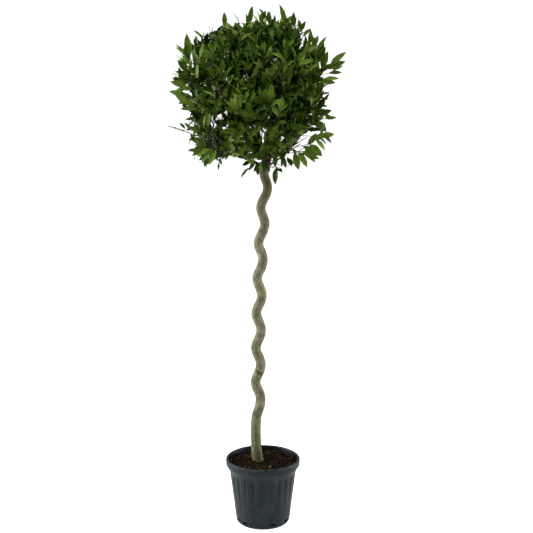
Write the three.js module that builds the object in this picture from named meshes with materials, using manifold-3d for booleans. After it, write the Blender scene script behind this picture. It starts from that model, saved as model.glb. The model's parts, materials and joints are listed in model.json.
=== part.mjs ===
// A potted standard bay tree: a corkscrew stem that carries a clipped head of leaves, in a fluted nursery pot.
// Millimetres, +Z up. The origin is the centre of the pot's flat underside, and the tree is seen from -Y.
import * as THREE from "three";
import { mergeVertices } from "three/addons/utils/BufferGeometryUtils.js";
import Module from "manifold-3d";

const wasm = await Module();
wasm.setup();

const UP = new THREE.Vector3(0, 0, 1);
const TURN = 2 * Math.PI;
const GOLDEN_ANGLE = Math.PI * (3 - Math.sqrt(5));
const GAP = 0.3; // clearance between pieces that touch

const pot = {
  height: 252,
  footRadius: 103, // where the wall meets the rounded foot
  baseRadius: 96, // of the flat underside
  footHeight: 13,
  heelWidth: 0.7, // shares of the foot's width and height where its rounding turns
  heelHeight: 0.3,
  shoulderRadius: 127, // just under the rim
  rimRadius: 142,
  mouthRadius: 131.5,
  rimDrop: 26, // height of the rim's upright face
  chamferDrop: 22, // the slope from the rim back to the shoulder
  collarDrop: 8, // the smooth band under the rim
  collarStep: 1.4, // how far that band stands out of the fluted wall
  lipRound: 3,
  wall: 3.2,
  floor: 3,
  cutAbove: 10, // how far the hollow's cut goes on over the rim
};
const flute = { count: 24, turn: 5.5, depth: 2.4, low: 38, ease: 26, margin: 1 };
const drain = { count: 6, turn: 23, width: 19, height: 8, lift: 13.5, reach: 14 };
const compost = { top: 237, edgeDrop: 3, edgeInset: 0.5, edgeWidth: 7 };

const stem = {
  footX: -18.4,
  footZ: compost.top + GAP,
  topZ: 1402,
  footRadius: 20,
  crownRadius: 16.4, // just below the fork
  flare: 2.4,
  flareHeight: 24,
  forkZ: 1362,
  forkRadius: 18.6,
  forkHeight: 26,
  neckRise: 4, // from the fork's middle to where the neck narrows
  tipRadius: 8,
  leanRise: 38, // how far the top leans to +X
  leanPower: 3.4,
  coilRadius: 9.5,
  coilPitch: 133,
  coilStart: 417.5,
  coilEase: 30,
  coilFade: 40,
  spare: 9, // more length at both ends, which is cut off level
  steps: 74,
  sides: 9,
};

const crown = {
  centre: new THREE.Vector3(-42, 0, 1632),
  halfWidth: 280,
  halfDepth: 272,
  halfHeight: 276,
  squareness: 3.2, // 2 is a ball, and more has fuller shoulders
  shoots: 110, // spread evenly under the clipped surface
  innerShoots: 11, // spread evenly round a level ring inside
  innerReach: 0.5, // share of the way to the surface
  innerLeast: 0.85, // least and range of a factor on that share
  innerRange: 0.3,
  innerClimb: 0.1,
  innerSeed: 5100,
  shootDepth: 64, // how far under that surface a shoot ends, at least
  lowestDepth: 36, // the same under the crown, where the leaves hang
  hangsBelow: -0.3, // share of the half height over which the lowest depth no longer counts
  depthRange: 26,
  seed: 4100,
};

// Each mass of foliage grows from one bough, which leaves the trunk at leaveZ. spread and rise place the middle of
// its space from the crown's centre, every second one stagger lower, and its stem ends reach and climb past there.
const tiers = [
  { name: "top", count: 1, turn: 0, spread: 0, rise: 170, stagger: 0, reach: 0, climb: 20, leaveZ: 1402 },
  { name: "upper", count: 4, turn: 38, spread: 124, rise: 72, stagger: 26, reach: 50, climb: 20, leaveZ: 1372 },
  { name: "lower", count: 5, turn: 8, spread: 186, rise: -98, stagger: 30, reach: 10, climb: -40, leaveZ: 1352 },
];
// How far a bough leans out in degrees, its radius, and how strongly its leaves turn up.
const habits = {
  top: { tilt: 0, girth: 7.4, lift: 0.3 },
  upper: { tilt: 40, girth: 7, lift: 0.18 },
  lower: { tilt: 74, girth: 6.4, lift: -0.08 },
};
const bough = {
  sides: 6,
  steps: 5,
  handle: 0.36, // share of its length over which it keeps its first and last direction
  arch: 0.35, // how strongly its end turns up
  tipShare: 0.66, // of its radius at the trunk
  earliestEnd: 0.26, // shares of the limb between which the bough gives way to the stem of its mass
  latestEnd: 0.8,
  endStep: 0.01,
  room: 10,
};
const massStem = { tipShare: 0.76, steps: 4, sides: 5 };
const cellRoom = { leaf: 1, tip: 3, twig: 4 }; // kept from the border with the next mass

// Shoots that escaped the shears: bearing from +X towards +Y and climb in degrees, and how far past the surface.
const strayShoots = [
  { bearing: -10, climb: 25, past: 92 },
  { bearing: -8, climb: 10, past: 34 },
  { bearing: -14, climb: -26, past: 36 },
  { bearing: -24, climb: -43, past: 40 },
  { bearing: 14, climb: -46, past: 24 },
  { bearing: 184, climb: 7, past: 40 },
  { bearing: 176, climb: -24, past: 32 },
  { bearing: 206, climb: -48, past: 14 },
  { bearing: 4, climb: 72, past: 24 },
  { bearing: -36, climb: -73, past: 84 },
  { bearing: 205, climb: -80, past: 46 },
  { bearing: 96, climb: 12, past: 40 },
  { bearing: 258, climb: -14, past: 32 },
];

const strayLeafShare = 0.9; // how much of a leaf's length reaches on past the tip of its twig

const twig = {
  rootRadius: 2.5,
  tipRadius: 2.2,
  guard: 0.8, // share of the tip's radius that other leaves keep clear of
  steps: 4,
  bend: 0.34,
  forward: 0.9,
  widestTurn: 62, // degrees from its stem
  firstRoot: 0.08, // shares of the stem between which twigs leave it
  lastRoot: 0.97,
  searchFrom: 0.98, // the stem is searched from here down to here, for the turn to be narrow enough
  searchTo: 0.06,
  searchStep: 0.04,
};
const leaf = {
  length: 98,
  width: 37,
  rootHeight: 3.4, // of its foot on the twig
  widest: 0.42, // share of the length
  fold: 5, // how far the edges stand above the midrib
  droop: 6,
  spacing: 33,
  atNode: 2,
  atTip: 3,
  firstShare: 0.2, // where on its twig the first leaf sits
  opening: 50,
  tipOpening: 37,
  openingLeast: 0.85, // least and range of a factor on the opening
  openingRange: 0.3,
  sizeLeast: 0.88, // the same for the size
  sizeRange: 0.2,
  sizes: [1, 0.84, 0.7], // tried in this order
  turns: 12, // ways round its twig that a leaf is tried
  meetingReach: 2.2, // lengths between two feet, past which leaves never meet
};
const smallestOverlap = 0.6; // cubic millimetres, under which two leaves only touch

const paint = (colour, roughness) => new THREE.MeshStandardMaterial({ color: colour, roughness, metalness: 0 });
const paints = {
  plastic: paint(0x394044, 0.62),
  compost: paint(0x2c1a10, 0.95),
  bark: paint(0x7c7a5c, 0.85),
  boughBark: paint(0x5a5138, 0.85),
  leaves: paint(0x24451a, 0.45),
};

/** A repeatable source of numbers from 0 to 1. */
function seeded(seed) {
  let state = seed >>> 0;
  return () => {
    state = (state + 0x6d2b79f5) >>> 0;
    let t = state;
    t = Math.imul(t ^ (t >>> 15), t | 1);
    t ^= t + Math.imul(t ^ (t >>> 7), t | 61);
    return ((t ^ (t >>> 14)) >>> 0) / 4294967296;
  };
}

/** A closed three.js geometry as a solid for joining and cutting. */
function solidOf(geometry) {
  const loose = geometry.index ? geometry.toNonIndexed() : geometry;
  const bare = new THREE.BufferGeometry().setAttribute("position", loose.getAttribute("position"));
  const merged = mergeVertices(bare, 1e-4);
  return new wasm.Manifold(
    new wasm.Mesh({
      numProp: 3,
      vertProperties: merged.attributes.position.array,
      triVerts: new Uint32Array(merged.index.array),
    }),
  );
}

/** A joined or cut solid as a three.js geometry. */
function geometryOf(solid) {
  const mesh = solid.getMesh();
  const geometry = new THREE.BufferGeometry();
  geometry.setAttribute("position", new THREE.BufferAttribute(mesh.vertProperties, 3));
  geometry.setIndex(new THREE.BufferAttribute(mesh.triVerts, 1));
  geometry.computeVertexNormals();
  return geometry;
}

/** The geometry of a list of points and of faces, which are triples of places in that list. */
function facesOf(points, faces) {
  const geometry = new THREE.BufferGeometry().setFromPoints(points);
  geometry.setIndex(faces.flat());
  return geometry;
}

/** A closed skin over rings of points that each run anticlockwise, seen from the last ring, with flat ends. */
function loft(rings) {
  const sides = rings[0].length;
  const faces = [];
  for (let i = 0; i + 1 < rings.length; i += 1) {
    for (let k = 0; k < sides; k += 1) {
      const a = i * sides + k;
      const b = i * sides + ((k + 1) % sides);
      faces.push([a, b, b + sides], [a, b + sides, a + sides]);
    }
  }
  const last = (rings.length - 1) * sides;
  for (let k = 1; k + 1 < sides; k += 1) {
    faces.push([0, k + 1, k], [last, last + k, last + k + 1]);
  }
  return facesOf(rings.flat(), faces);
}

/** A round limb of changing radius along a curve. radiusAt takes a share of its length and a point on it. */
function limb(curve, radiusAt, steps, sides) {
  const frames = curve.computeFrenetFrames(steps);
  const rings = [];
  for (let i = 0; i <= steps; i += 1) {
    const middle = curve.getPointAt(i / steps);
    const radius = radiusAt(i / steps, middle);
    const ring = [];
    for (let k = 0; k < sides; k += 1) {
      const angle = (TURN * k) / sides;
      ring.push(
        middle
          .clone()
          .addScaledVector(frames.normals[i], radius * Math.cos(angle))
          .addScaledVector(frames.binormals[i], radius * Math.sin(angle)),
      );
    }
    rings.push(ring);
  }
  return loft(rings);
}

/** The middle of the stem at a height: straight at the foot, then a corkscrew that leans to +X. */
function stemMiddle(z, target = new THREE.Vector3()) {
  const wound = stem.coilEase * Math.log(1 + Math.exp((z - stem.coilStart) / stem.coilEase));
  const angle = Math.PI + (TURN * wound) / stem.coilPitch;
  const radius = stem.coilRadius * (1 - Math.exp(-Math.max(0, z - stem.footZ) / stem.coilFade));
  const climbed = Math.max(0, (z - stem.footZ) / (stem.topZ - stem.footZ));
  const lean = stem.footX + stem.leanRise * climbed ** stem.leanPower;
  return target.set(lean + radius * Math.cos(angle), radius * Math.sin(angle), z);
}

/** The line of the stem, a little longer at both ends than the trunk, whose ends are cut level. */
class StemCurve extends THREE.Curve {
  getPoint(t, target = new THREE.Vector3()) {
    return stemMiddle(THREE.MathUtils.lerp(stem.footZ - stem.spare, stem.topZ + stem.spare, t), target);
  }
}

/** The stem's radius: an even taper, a flare at the foot, a swelling at the fork and a neck above it. */
function stemRadius(share, middle) {
  const taper = THREE.MathUtils.lerp(stem.footRadius, stem.crownRadius, share);
  const flare = stem.flare * Math.exp(-Math.max(0, middle.z - stem.footZ) / stem.flareHeight);
  const fork = Math.exp(-(((middle.z - stem.forkZ) / stem.forkHeight) ** 2));
  const neck = THREE.MathUtils.smoothstep(middle.z, stem.forkZ + stem.neckRise, stem.topZ);
  const body = taper + flare + (stem.forkRadius - stem.crownRadius) * fork;
  return THREE.MathUtils.lerp(body, stem.tipRadius, neck);
}

/** How far the crown's clipped surface is from its centre, in a direction. */
function crownReach({ x, y, z }) {
  const level = Math.hypot(x / crown.halfWidth, y / crown.halfDepth);
  const upright = Math.abs(z) / crown.halfHeight;
  return (level ** crown.squareness + upright ** crown.squareness) ** (-1 / crown.squareness);
}

/** The unit vector for a bearing from +X towards +Y and a climb above the level, in degrees. */
function heading(bearing, climb) {
  const [b, c] = [bearing, climb].map(THREE.MathUtils.degToRad);
  return new THREE.Vector3(Math.cos(b) * Math.cos(c), Math.sin(b) * Math.cos(c), Math.sin(c));
}

/** The radius of the pot's tapering wall at a height, without flutes. */
function wallRadius(z) {
  const shoulderZ = pot.height - pot.rimDrop - pot.chamferDrop;
  const share = (z - pot.footHeight) / (shoulderZ - pot.footHeight);
  return THREE.MathUtils.lerp(pot.footRadius, pot.shoulderRadius, share);
}

/** A turned solid, in step with the flutes, from pairs of radius and height that start and end on the axis. */
function turned(profile, segments) {
  const points = profile.map(([radius, z]) => new THREE.Vector2(radius, z));
  const solid = new THREE.LatheGeometry(points, segments).rotateX(Math.PI / 2);
  return solid.rotateZ(THREE.MathUtils.degToRad(flute.turn));
}

/** The pot: a turned shell whose wall is pressed in along each flute, with drain holes cut at the foot. */
function makePot() {
  const shoulderZ = pot.height - pot.rimDrop - pot.chamferDrop;
  const collarZ = shoulderZ - pot.collarDrop;
  const outline = [
    [0, 0],
    [pot.baseRadius, 0],
    [THREE.MathUtils.lerp(pot.baseRadius, pot.footRadius, pot.heelWidth), pot.heelHeight * pot.footHeight],
    [wallRadius(pot.footHeight), pot.footHeight],
    [wallRadius(flute.low), flute.low],
    [wallRadius(flute.low + flute.ease), flute.low + flute.ease],
    [wallRadius(collarZ - flute.ease / 2), collarZ - flute.ease / 2],
    [wallRadius(collarZ), collarZ],
    [wallRadius(collarZ) + pot.collarStep, collarZ + pot.collarStep],
    [wallRadius(shoulderZ) + pot.collarStep, shoulderZ],
    [pot.rimRadius, pot.height - pot.rimDrop],
    [pot.rimRadius, pot.height - pot.lipRound],
    [pot.rimRadius - pot.lipRound, pot.height],
    [0, pot.height],
  ];
  const body = turned(outline, 2 * flute.count);
  const position = body.getAttribute("position");
  for (let i = 0; i < position.count; i += 1) {
    const [x, y, z] = [position.getX(i), position.getY(i), position.getZ(i)];
    const turn = Math.atan2(y, x) - THREE.MathUtils.degToRad(flute.turn);
    const column = Math.round((turn / TURN) * 2 * flute.count);
    if (column % 2 === 0 || z < flute.low + flute.margin || z > collarZ - flute.margin) continue;
    const pressed = 1 - flute.depth / Math.hypot(x, y);
    position.setXYZ(i, x * pressed, y * pressed, z);
  }
  const inside = [
    [0, pot.floor],
    [wallRadius(pot.floor) - pot.wall, pot.floor],
    [wallRadius(compost.top) - pot.wall, compost.top],
    [pot.mouthRadius, pot.height - pot.lipRound],
    [pot.mouthRadius + pot.lipRound, pot.height],
    [pot.mouthRadius + pot.lipRound, pot.height + pot.cutAbove],
    [0, pot.height + pot.cutAbove],
  ];
  let shell = solidOf(body).subtract(solidOf(turned(inside, 2 * flute.count)));
  for (let i = 0; i < drain.count; i += 1) {
    const hole = new THREE.BoxGeometry(drain.reach, drain.width, drain.height);
    hole.translate(wallRadius(0), 0, drain.lift + drain.height / 2);
    hole.rotateZ(THREE.MathUtils.degToRad(drain.turn) - Math.PI / 2 + (TURN * i) / drain.count);
    shell = shell.subtract(solidOf(hole));
  }
  return geometryOf(shell);
}

/** The compost: a plug that fills the pot with a small clearance, its edge rounded off. */
function makeCompost() {
  const inside = (z) => wallRadius(z) - pot.wall - GAP;
  const bottom = pot.floor + GAP;
  const outline = [
    [0, bottom],
    [inside(bottom), bottom],
    [inside(compost.top) - compost.edgeInset, compost.top - compost.edgeDrop],
    [inside(compost.top) - compost.edgeWidth, compost.top],
    [0, compost.top],
  ];
  return turned(outline, flute.count);
}

/** Every bough with its mass of foliage, as plain facts: its habit, its curve, and its cell's middle. */
function planMasses() {
  const plans = [];
  for (const tier of tiers) {
    for (let i = 0; i < tier.count; i += 1) {
      const bearing = tier.turn + (360 * i) / tier.count;
      const outward = heading(bearing, 0);
      const rise = tier.rise - (i % 2) * tier.stagger;
      const middle = crown.centre.clone().addScaledVector(outward, tier.spread).addScaledVector(UP, rise);
      const start = stemMiddle(tier.leaveZ);
      if (tier.count === 1) start.addScaledVector(UP, GAP);
      const end = middle.clone().addScaledVector(outward, tier.reach).addScaledVector(UP, tier.climb);
      const length = start.distanceTo(end);
      const habit = habits[tier.name];
      const leaving = heading(bearing, 90 - habit.tilt);
      const arriving = end.clone().sub(start).normalize().addScaledVector(UP, bough.arch).normalize();
      const curve = new THREE.CubicBezierCurve3(
        start,
        start.clone().addScaledVector(leaving, bough.handle * length),
        end.clone().addScaledVector(arriving, -bough.handle * length),
        end,
      );
      const name = tier.count === 1 ? tier.name : `${tier.name}_${i + 1}`;
      plans.push({ name, ...habit, middle, curve });
    }
  }
  return plans;
}

/** True where a point is nearer to this mass's middle than to any other's, by a margin. */
function inCell(point, plan, plans, margin) {
  return plans.every((other) => {
    if (other === plan) return true;
    const across = other.middle.clone().sub(plan.middle);
    const half = across.length() / 2;
    return point.clone().sub(plan.middle).dot(across.normalize()) < half - margin;
  });
}

/** The share of a limb's curve at which the bough ends and the mass's own stem begins. */
function entryShare(plan, plans) {
  let share = bough.earliestEnd;
  while (share < bough.latestEnd && !inCell(plan.curve.getPointAt(share), plan, plans, bough.room)) {
    share += bough.endStep;
  }
  return share;
}

/** The stretch of a curve between two shares of its length. */
class Stretch extends THREE.Curve {
  constructor(curve, from, to) {
    super();
    Object.assign(this, { curve, from, to });
  }
  getPoint(t, target = new THREE.Vector3()) {
    return target.copy(this.curve.getPointAt(THREE.MathUtils.lerp(this.from, this.to, t)));
  }
}

/** Every shoot of the crown: where its tip is, and whether it was missed by the shears. */
function planShoots() {
  const shoots = [];
  for (let k = 0; k < crown.shoots; k += 1) {
    const random = seeded(crown.seed + k);
    const height = 1 - (2 * (k + 0.5)) / crown.shoots;
    const level = Math.sqrt(1 - height * height);
    const around = k * GOLDEN_ANGLE;
    const direction = new THREE.Vector3(level * Math.cos(around), level * Math.sin(around), height);
    const clipped = THREE.MathUtils.smoothstep(height, -1, crown.hangsBelow);
    const depth = THREE.MathUtils.lerp(crown.lowestDepth, crown.shootDepth, clipped);
    const reach = crownReach(direction) - depth - crown.depthRange * random();
    shoots.push({ tip: crown.centre.clone().addScaledVector(direction, reach), random, stray: false });
  }
  for (let k = 0; k < crown.innerShoots; k += 1) {
    const direction = heading((360 * k) / crown.innerShoots, 0).addScaledVector(UP, crown.innerClimb).normalize();
    const random = seeded(crown.innerSeed + k);
    const factor = crown.innerLeast + crown.innerRange * random();
    const reach = crown.innerReach * crownReach(direction) * factor;
    shoots.push({ tip: crown.centre.clone().addScaledVector(direction, reach), random, stray: false });
  }
  strayShoots.forEach(({ bearing, climb, past }, k) => {
    const direction = heading(bearing, climb);
    const reach = crownReach(direction) + past - strayLeafShare * leaf.length;
    const random = seeded(crown.seed + crown.shoots + k);
    shoots.push({ tip: crown.centre.clone().addScaledVector(direction, reach), random, stray: true });
  });
  return shoots;
}

/** The furthest share along a stem from which a tip still lies well ahead. */
function wantedShare(stemOfMass, tip) {
  const widest = Math.cos(THREE.MathUtils.degToRad(twig.widestTurn));
  let share = twig.searchFrom;
  while (share > twig.searchTo) {
    const towards = tip.clone().sub(stemOfMass.getPointAt(share)).normalize();
    if (stemOfMass.getTangentAt(share).dot(towards) > widest) break;
    share -= twig.searchStep;
  }
  return share;
}

/** The twigs of a mass: they leave its stem at even steps, those that end furthest ahead last. */
function planTwigs(stemOfMass, shoots) {
  const ordered = shoots.map((shoot) => ({ shoot, wanted: wantedShare(stemOfMass, shoot.tip) }));
  ordered.sort((a, b) => a.wanted - b.wanted);
  return ordered.map(({ shoot }, i) => {
    const share = THREE.MathUtils.lerp(twig.firstRoot, twig.lastRoot, (i + 0.5) / ordered.length);
    const root = stemOfMass.getPointAt(share);
    const towards = shoot.tip.clone().sub(root);
    const distance = towards.length();
    const leaving = stemOfMass.getTangentAt(share).multiplyScalar(twig.forward).add(towards.divideScalar(distance));
    const knee = root.clone().addScaledVector(leaving.normalize(), twig.bend * distance);
    return { shoot, curve: new THREE.QuadraticBezierCurve3(root, knee, shoot.tip) };
  });
}

/** Where the rings round a twig's curve are measured from: its middle, way ahead and two ways across. */
function frameAt(curve, share) {
  const middle = curve.getPointAt(share);
  const ahead = curve.getTangentAt(share);
  const side = curve.v1.clone().sub(curve.v0).cross(curve.v2.clone().sub(curve.v1));
  if (side.length() < 1) side.crossVectors(UP, ahead);
  side.normalize();
  return { middle, ahead, side, other: new THREE.Vector3().crossVectors(ahead, side) };
}

/** A point on a twig's skin, at a share of its length and an angle round it. */
function skinPoint(curve, share, angle) {
  const { middle, side, other } = frameAt(curve, share);
  const radius = THREE.MathUtils.lerp(twig.rootRadius, twig.tipRadius, share);
  return middle.addScaledVector(side, radius * Math.cos(angle)).addScaledVector(other, radius * Math.sin(angle));
}

/** The seven corners of a leaf that opens from one flat side of a twig, centred on an angle round it. */
function leafCorners(curve, share, angle, opening, size, lift) {
  const half = leaf.rootHeight / 2 / curve.getLength();
  const corner = (up, across) => skinPoint(curve, share + up * half, angle + (across * TURN) / 6);
  const foot = [corner(-1, -1), corner(-1, 1), corner(1, 1), corner(1, -1)];
  const { ahead, side, other, middle } = frameAt(curve, share);
  const outward = side.multiplyScalar(Math.cos(angle)).addScaledVector(other, Math.sin(angle));
  const pointing = ahead.clone().multiplyScalar(Math.cos(opening)).addScaledVector(outward, Math.sin(opening));
  pointing.addScaledVector(UP, lift).normalize();
  const across = new THREE.Vector3().crossVectors(ahead, pointing).normalize();
  const upward = new THREE.Vector3().crossVectors(pointing, across);
  const blade = (along, sideways, raised) =>
    middle
      .clone()
      .addScaledVector(pointing, size * along)
      .addScaledVector(across, size * sideways)
      .addScaledVector(upward, size * raised);
  const left = blade(leaf.widest * leaf.length, -leaf.width / 2, leaf.fold);
  const right = blade(leaf.widest * leaf.length, leaf.width / 2, leaf.fold);
  return [...foot, left, blade(leaf.length, 0, -leaf.droop), right];
}

/** The eight faces of a leaf, from the places in a list of points of its foot corners, left, tip and right. */
function leafFaces([a, b, c, d, left, tip, right]) {
  return [
    [d, left, tip], [d, tip, c], [c, tip, right],
    [b, right, tip], [b, tip, a], [a, tip, left],
    [a, left, d], [b, c, right],
  ];
}

/** One shoot as a closed skin: a three-sided twig whose side faces open out into its leaves. */
function sprigSkin(curve, nodes) {
  const half = leaf.rootHeight / 2 / curve.getLength();
  const points = [];
  const faces = [];
  const place = (i, k) => 3 * i + (((k % 3) + 3) % 3);
  const addRing = (share, turn) => {
    for (let k = 0; k < 3; k += 1) points.push(skinPoint(curve, share, turn + (k * TURN) / 3));
  };
  let turn = nodes[0].angle - TURN / 6;
  addRing(0, turn);
  const opened = new Map();
  for (const node of nodes) {
    const shift = Math.round((node.angle - TURN / 6 - turn) / (TURN / 3));
    turn = node.angle - TURN / 6 - (shift * TURN) / 3;
    const segment = points.length / 3;
    addRing(node.share - half, turn);
    addRing(node.share + half, turn);
    node.leaves.forEach((corners, k) => {
      if (corners) opened.set(`${segment} ${(((shift + k) % 3) + 3) % 3}`, corners);
    });
  }
  const rings = points.length / 3;
  for (let i = 0; i + 1 < rings; i += 1) {
    for (let k = 0; k < 3; k += 1) {
      const foot = [place(i, k), place(i, k + 1), place(i + 1, k + 1), place(i + 1, k)];
      const corners = opened.get(`${i} ${k}`);
      if (corners) {
        faces.push(...leafFaces([...foot, points.length, points.length + 1, points.length + 2]));
        points.push(...corners.slice(4));
      } else {
        faces.push([foot[0], foot[1], foot[2]], [foot[0], foot[2], foot[3]]);
      }
    }
  }
  const last = 3 * (rings - 1);
  faces.push([0, 2, 1], [last, last + 1, last + 2]);
  return facesOf(points, faces);
}

/** The places for leaves along a twig: shares, angles and how many at each, most at the tip. */
function leafNodes(curve, random) {
  const length = curve.getLength();
  const tipShare = 1 - leaf.rootHeight / length;
  const along = Math.max(1, Math.round(((tipShare - leaf.firstShare) * length) / leaf.spacing));
  const first = TURN * random();
  const nodes = [];
  for (let j = 0; j <= along; j += 1) {
    const atTip = j === along;
    const share = THREE.MathUtils.lerp(leaf.firstShare, tipShare, j / along);
    const degrees = (atTip ? leaf.tipOpening : leaf.opening) * (leaf.openingLeast + leaf.openingRange * random());
    const opening = THREE.MathUtils.degToRad(degrees);
    const size = leaf.sizeLeast + leaf.sizeRange * random();
    const count = atTip ? leaf.atTip : leaf.atNode;
    nodes.push({ share, opening, angle: first + j * GOLDEN_ANGLE, count, size, leaves: [] });
  }
  return nodes;
}

/** True where a point is past the crown's clipped surface. */
function outsideCrown(point) {
  const from = point.clone().sub(crown.centre);
  const distance = from.length();
  return distance > crownReach(from.divideScalar(distance));
}

/** Settles the leaves of one place on a twig: the way round that holds the most, and largest, leaves that fit. */
function settleNode(node, curve, shoot, lift, fits) {
  const key = (found) => found.length + (found.length ? found[0].size : 0);
  let best = { found: [], angle: node.angle };
  for (const size of leaf.sizes) {
    for (let i = 0; i < leaf.turns; i += 1) {
      const angle = node.angle + ((i % 2 ? 1 : -1) * Math.ceil(i / 2) * TURN) / leaf.turns;
      const found = [];
      for (let k = 0; k < node.count; k += 1) {
        const around = angle + (k * TURN) / 3;
        const corners = leafCorners(curve, node.share, around, node.opening, size * node.size, lift);
        const blade = fits(corners, shoot.stray, found);
        if (blade) found.push({ k, corners, blade, size });
      }
      if (key(found) > key(best.found)) best = { found, angle };
      if (found.length === node.count) break;
    }
    if (best.found.length === node.count) break;
  }
  node.angle = best.angle;
  for (const { k, corners } of best.found) node.leaves[k] = corners;
  return best.found;
}

/** One mass of foliage: its stem, its twigs, then each leaf that keeps to its space and clear of the rest. */
function makeMass(plan, plans, shoots, limbs) {
  const stemOfMass = new Stretch(plan.curve, plan.entry + GAP / plan.curve.getLength(), 1);
  const girth = bough.tipShare * plan.girth;
  const radiusAt = (share) => THREE.MathUtils.lerp(girth, massStem.tipShare * girth, share);
  const stemSkin = solidOf(limb(stemOfMass, radiusAt, massStem.steps, massStem.sides));
  const own = shoots.filter(({ tip }) => inCell(tip, plan, plans, cellRoom.tip));
  const twigs = planTwigs(stemOfMass, own).filter(({ curve }) => {
    const bare = solidOf(limb(curve, () => twig.rootRadius, twig.steps, 3));
    const kept = [0.25, 0.5, 0.75].every((share) => inCell(curve.getPointAt(share), plan, plans, cellRoom.twig));
    return kept && limbs.intersect(bare).isEmpty();
  });
  const wood = twigs.map(({ curve }) => solidOf(limb(curve, () => twig.guard * twig.tipRadius, twig.steps, 3)));
  const blocked = wasm.Manifold.union([stemSkin, limbs, ...wood]);
  const settled = [];
  const fits = (corners, stray, besides) => {
    if (!corners.every((point) => inCell(point, plan, plans, cellRoom.leaf))) return null;
    if (!stray && corners.slice(4).some(outsideCrown)) return null;
    const solid = solidOf(facesOf(corners, [...leafFaces([0, 1, 2, 3, 4, 5, 6]), [0, 3, 2], [0, 2, 1]]));
    const meets = (other) => other.intersect(solid).volume() > smallestOverlap;
    const blade = { solid, foot: corners[0] };
    const near = [...settled, ...besides.map((one) => one.blade)].filter(
      ({ foot }) => foot.distanceTo(blade.foot) < leaf.meetingReach * leaf.length,
    );
    return meets(blocked) || near.some((one) => meets(one.solid)) ? null : blade;
  };
  for (const { curve, shoot } of twigs) {
    shoot.nodes = leafNodes(curve, shoot.random);
    for (const node of shoot.nodes.toReversed()) {
      settled.push(...settleNode(node, curve, shoot, plan.lift, fits).map((one) => one.blade));
    }
    shoot.nodes = shoot.nodes.filter(({ leaves }) => leaves.some(Boolean));
  }
  const leafy = twigs.filter(({ shoot }) => shoot.nodes.length > 0);
  const sprigs = leafy.map(({ curve, shoot }) => solidOf(sprigSkin(curve, shoot.nodes)));
  const mass = wasm.Manifold.union([stemSkin, ...sprigs]);
  const [whole] = mass.decompose().sort((a, b) => b.volume() - a.volume());
  return whole;
}

/** The stem, grown by some room all round, with level ends. */
function stemSolid(room) {
  const radiusAt = (share, middle) => stemRadius(share, middle) + room;
  const whole = solidOf(limb(new StemCurve(), radiusAt, stem.steps, stem.sides));
  return whole.trimByPlane([0, 0, 1], stem.footZ).trimByPlane([0, 0, -1], -stem.topZ);
}

/** One main limb, seated on the limbs that are there already, and the same limb grown by the clearance. */
function makeBough(plan, limbs) {
  const curve = new Stretch(plan.curve, 0, plan.entry);
  const { girth } = plan;
  const radiusAt = (share) => THREE.MathUtils.lerp(girth, bough.tipShare * girth, share);
  const seated = solidOf(limb(curve, radiusAt, bough.steps, bough.sides)).subtract(limbs);
  const [whole] = seated.decompose().sort((a, b) => b.volume() - a.volume());
  const grown = solidOf(limb(curve, (share) => radiusAt(share) + GAP, bough.steps, bough.sides));
  return { whole, grown };
}

const tree = new THREE.Group();

/** Adds one named piece to the tree. */
function add(name, geometry, material) {
  const mesh = new THREE.Mesh(geometry, material);
  mesh.name = name;
  tree.add(mesh);
}

add("pot", makePot(), paints.plastic);
add("compost", makeCompost(), paints.compost);
add("trunk", geometryOf(stemSolid(0)), paints.bark);
const plans = planMasses();
let limbs = stemSolid(GAP);
for (const plan of plans) {
  plan.entry = entryShare(plan, plans);
  const { whole, grown } = makeBough(plan, limbs);
  add(`bough_${plan.name}`, geometryOf(whole), paints.boughBark);
  limbs = limbs.add(grown);
}

const shoots = planShoots();
for (const plan of plans) {
  add(`foliage_${plan.name}`, geometryOf(makeMass(plan, plans, shoots, limbs)), paints.leaves);
}

export default tree;
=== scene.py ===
"""A potted standard bay tree with a corkscrew stem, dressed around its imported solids.

Sizes are in millimetres until a mesh is made, which is in metres. +Z is up, the origin is the middle of the
pot's flat underside, and the tree is seen from -Y. The crown grows by the rule of the solids, carried on.
"""

import bisect
import json
import logging
from collections.abc import Callable, Iterable, Sequence
from dataclasses import dataclass, field
from enum import Enum
from functools import cache
from math import atan2, ceil, cos, exp, hypot, log, pi, radians, sin, sqrt

import bpy
from mathutils import Euler, Matrix, Quaternion, Vector, noise

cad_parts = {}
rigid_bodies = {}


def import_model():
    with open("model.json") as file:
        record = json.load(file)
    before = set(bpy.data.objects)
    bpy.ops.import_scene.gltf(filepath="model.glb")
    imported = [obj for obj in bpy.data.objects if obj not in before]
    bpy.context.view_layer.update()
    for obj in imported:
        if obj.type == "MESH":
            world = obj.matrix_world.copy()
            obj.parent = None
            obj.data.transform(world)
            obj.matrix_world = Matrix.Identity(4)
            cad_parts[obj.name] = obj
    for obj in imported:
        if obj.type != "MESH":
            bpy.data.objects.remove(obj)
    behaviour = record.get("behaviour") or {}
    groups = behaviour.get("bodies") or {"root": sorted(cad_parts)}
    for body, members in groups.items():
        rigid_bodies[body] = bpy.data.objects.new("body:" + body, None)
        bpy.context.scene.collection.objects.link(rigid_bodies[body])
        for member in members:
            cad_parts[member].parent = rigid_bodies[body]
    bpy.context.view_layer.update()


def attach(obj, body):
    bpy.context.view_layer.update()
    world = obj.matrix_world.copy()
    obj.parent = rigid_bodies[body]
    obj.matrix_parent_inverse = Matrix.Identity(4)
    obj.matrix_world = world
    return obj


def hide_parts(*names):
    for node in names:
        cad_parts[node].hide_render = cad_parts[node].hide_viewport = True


logger = logging.getLogger("bay_tree")

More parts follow.
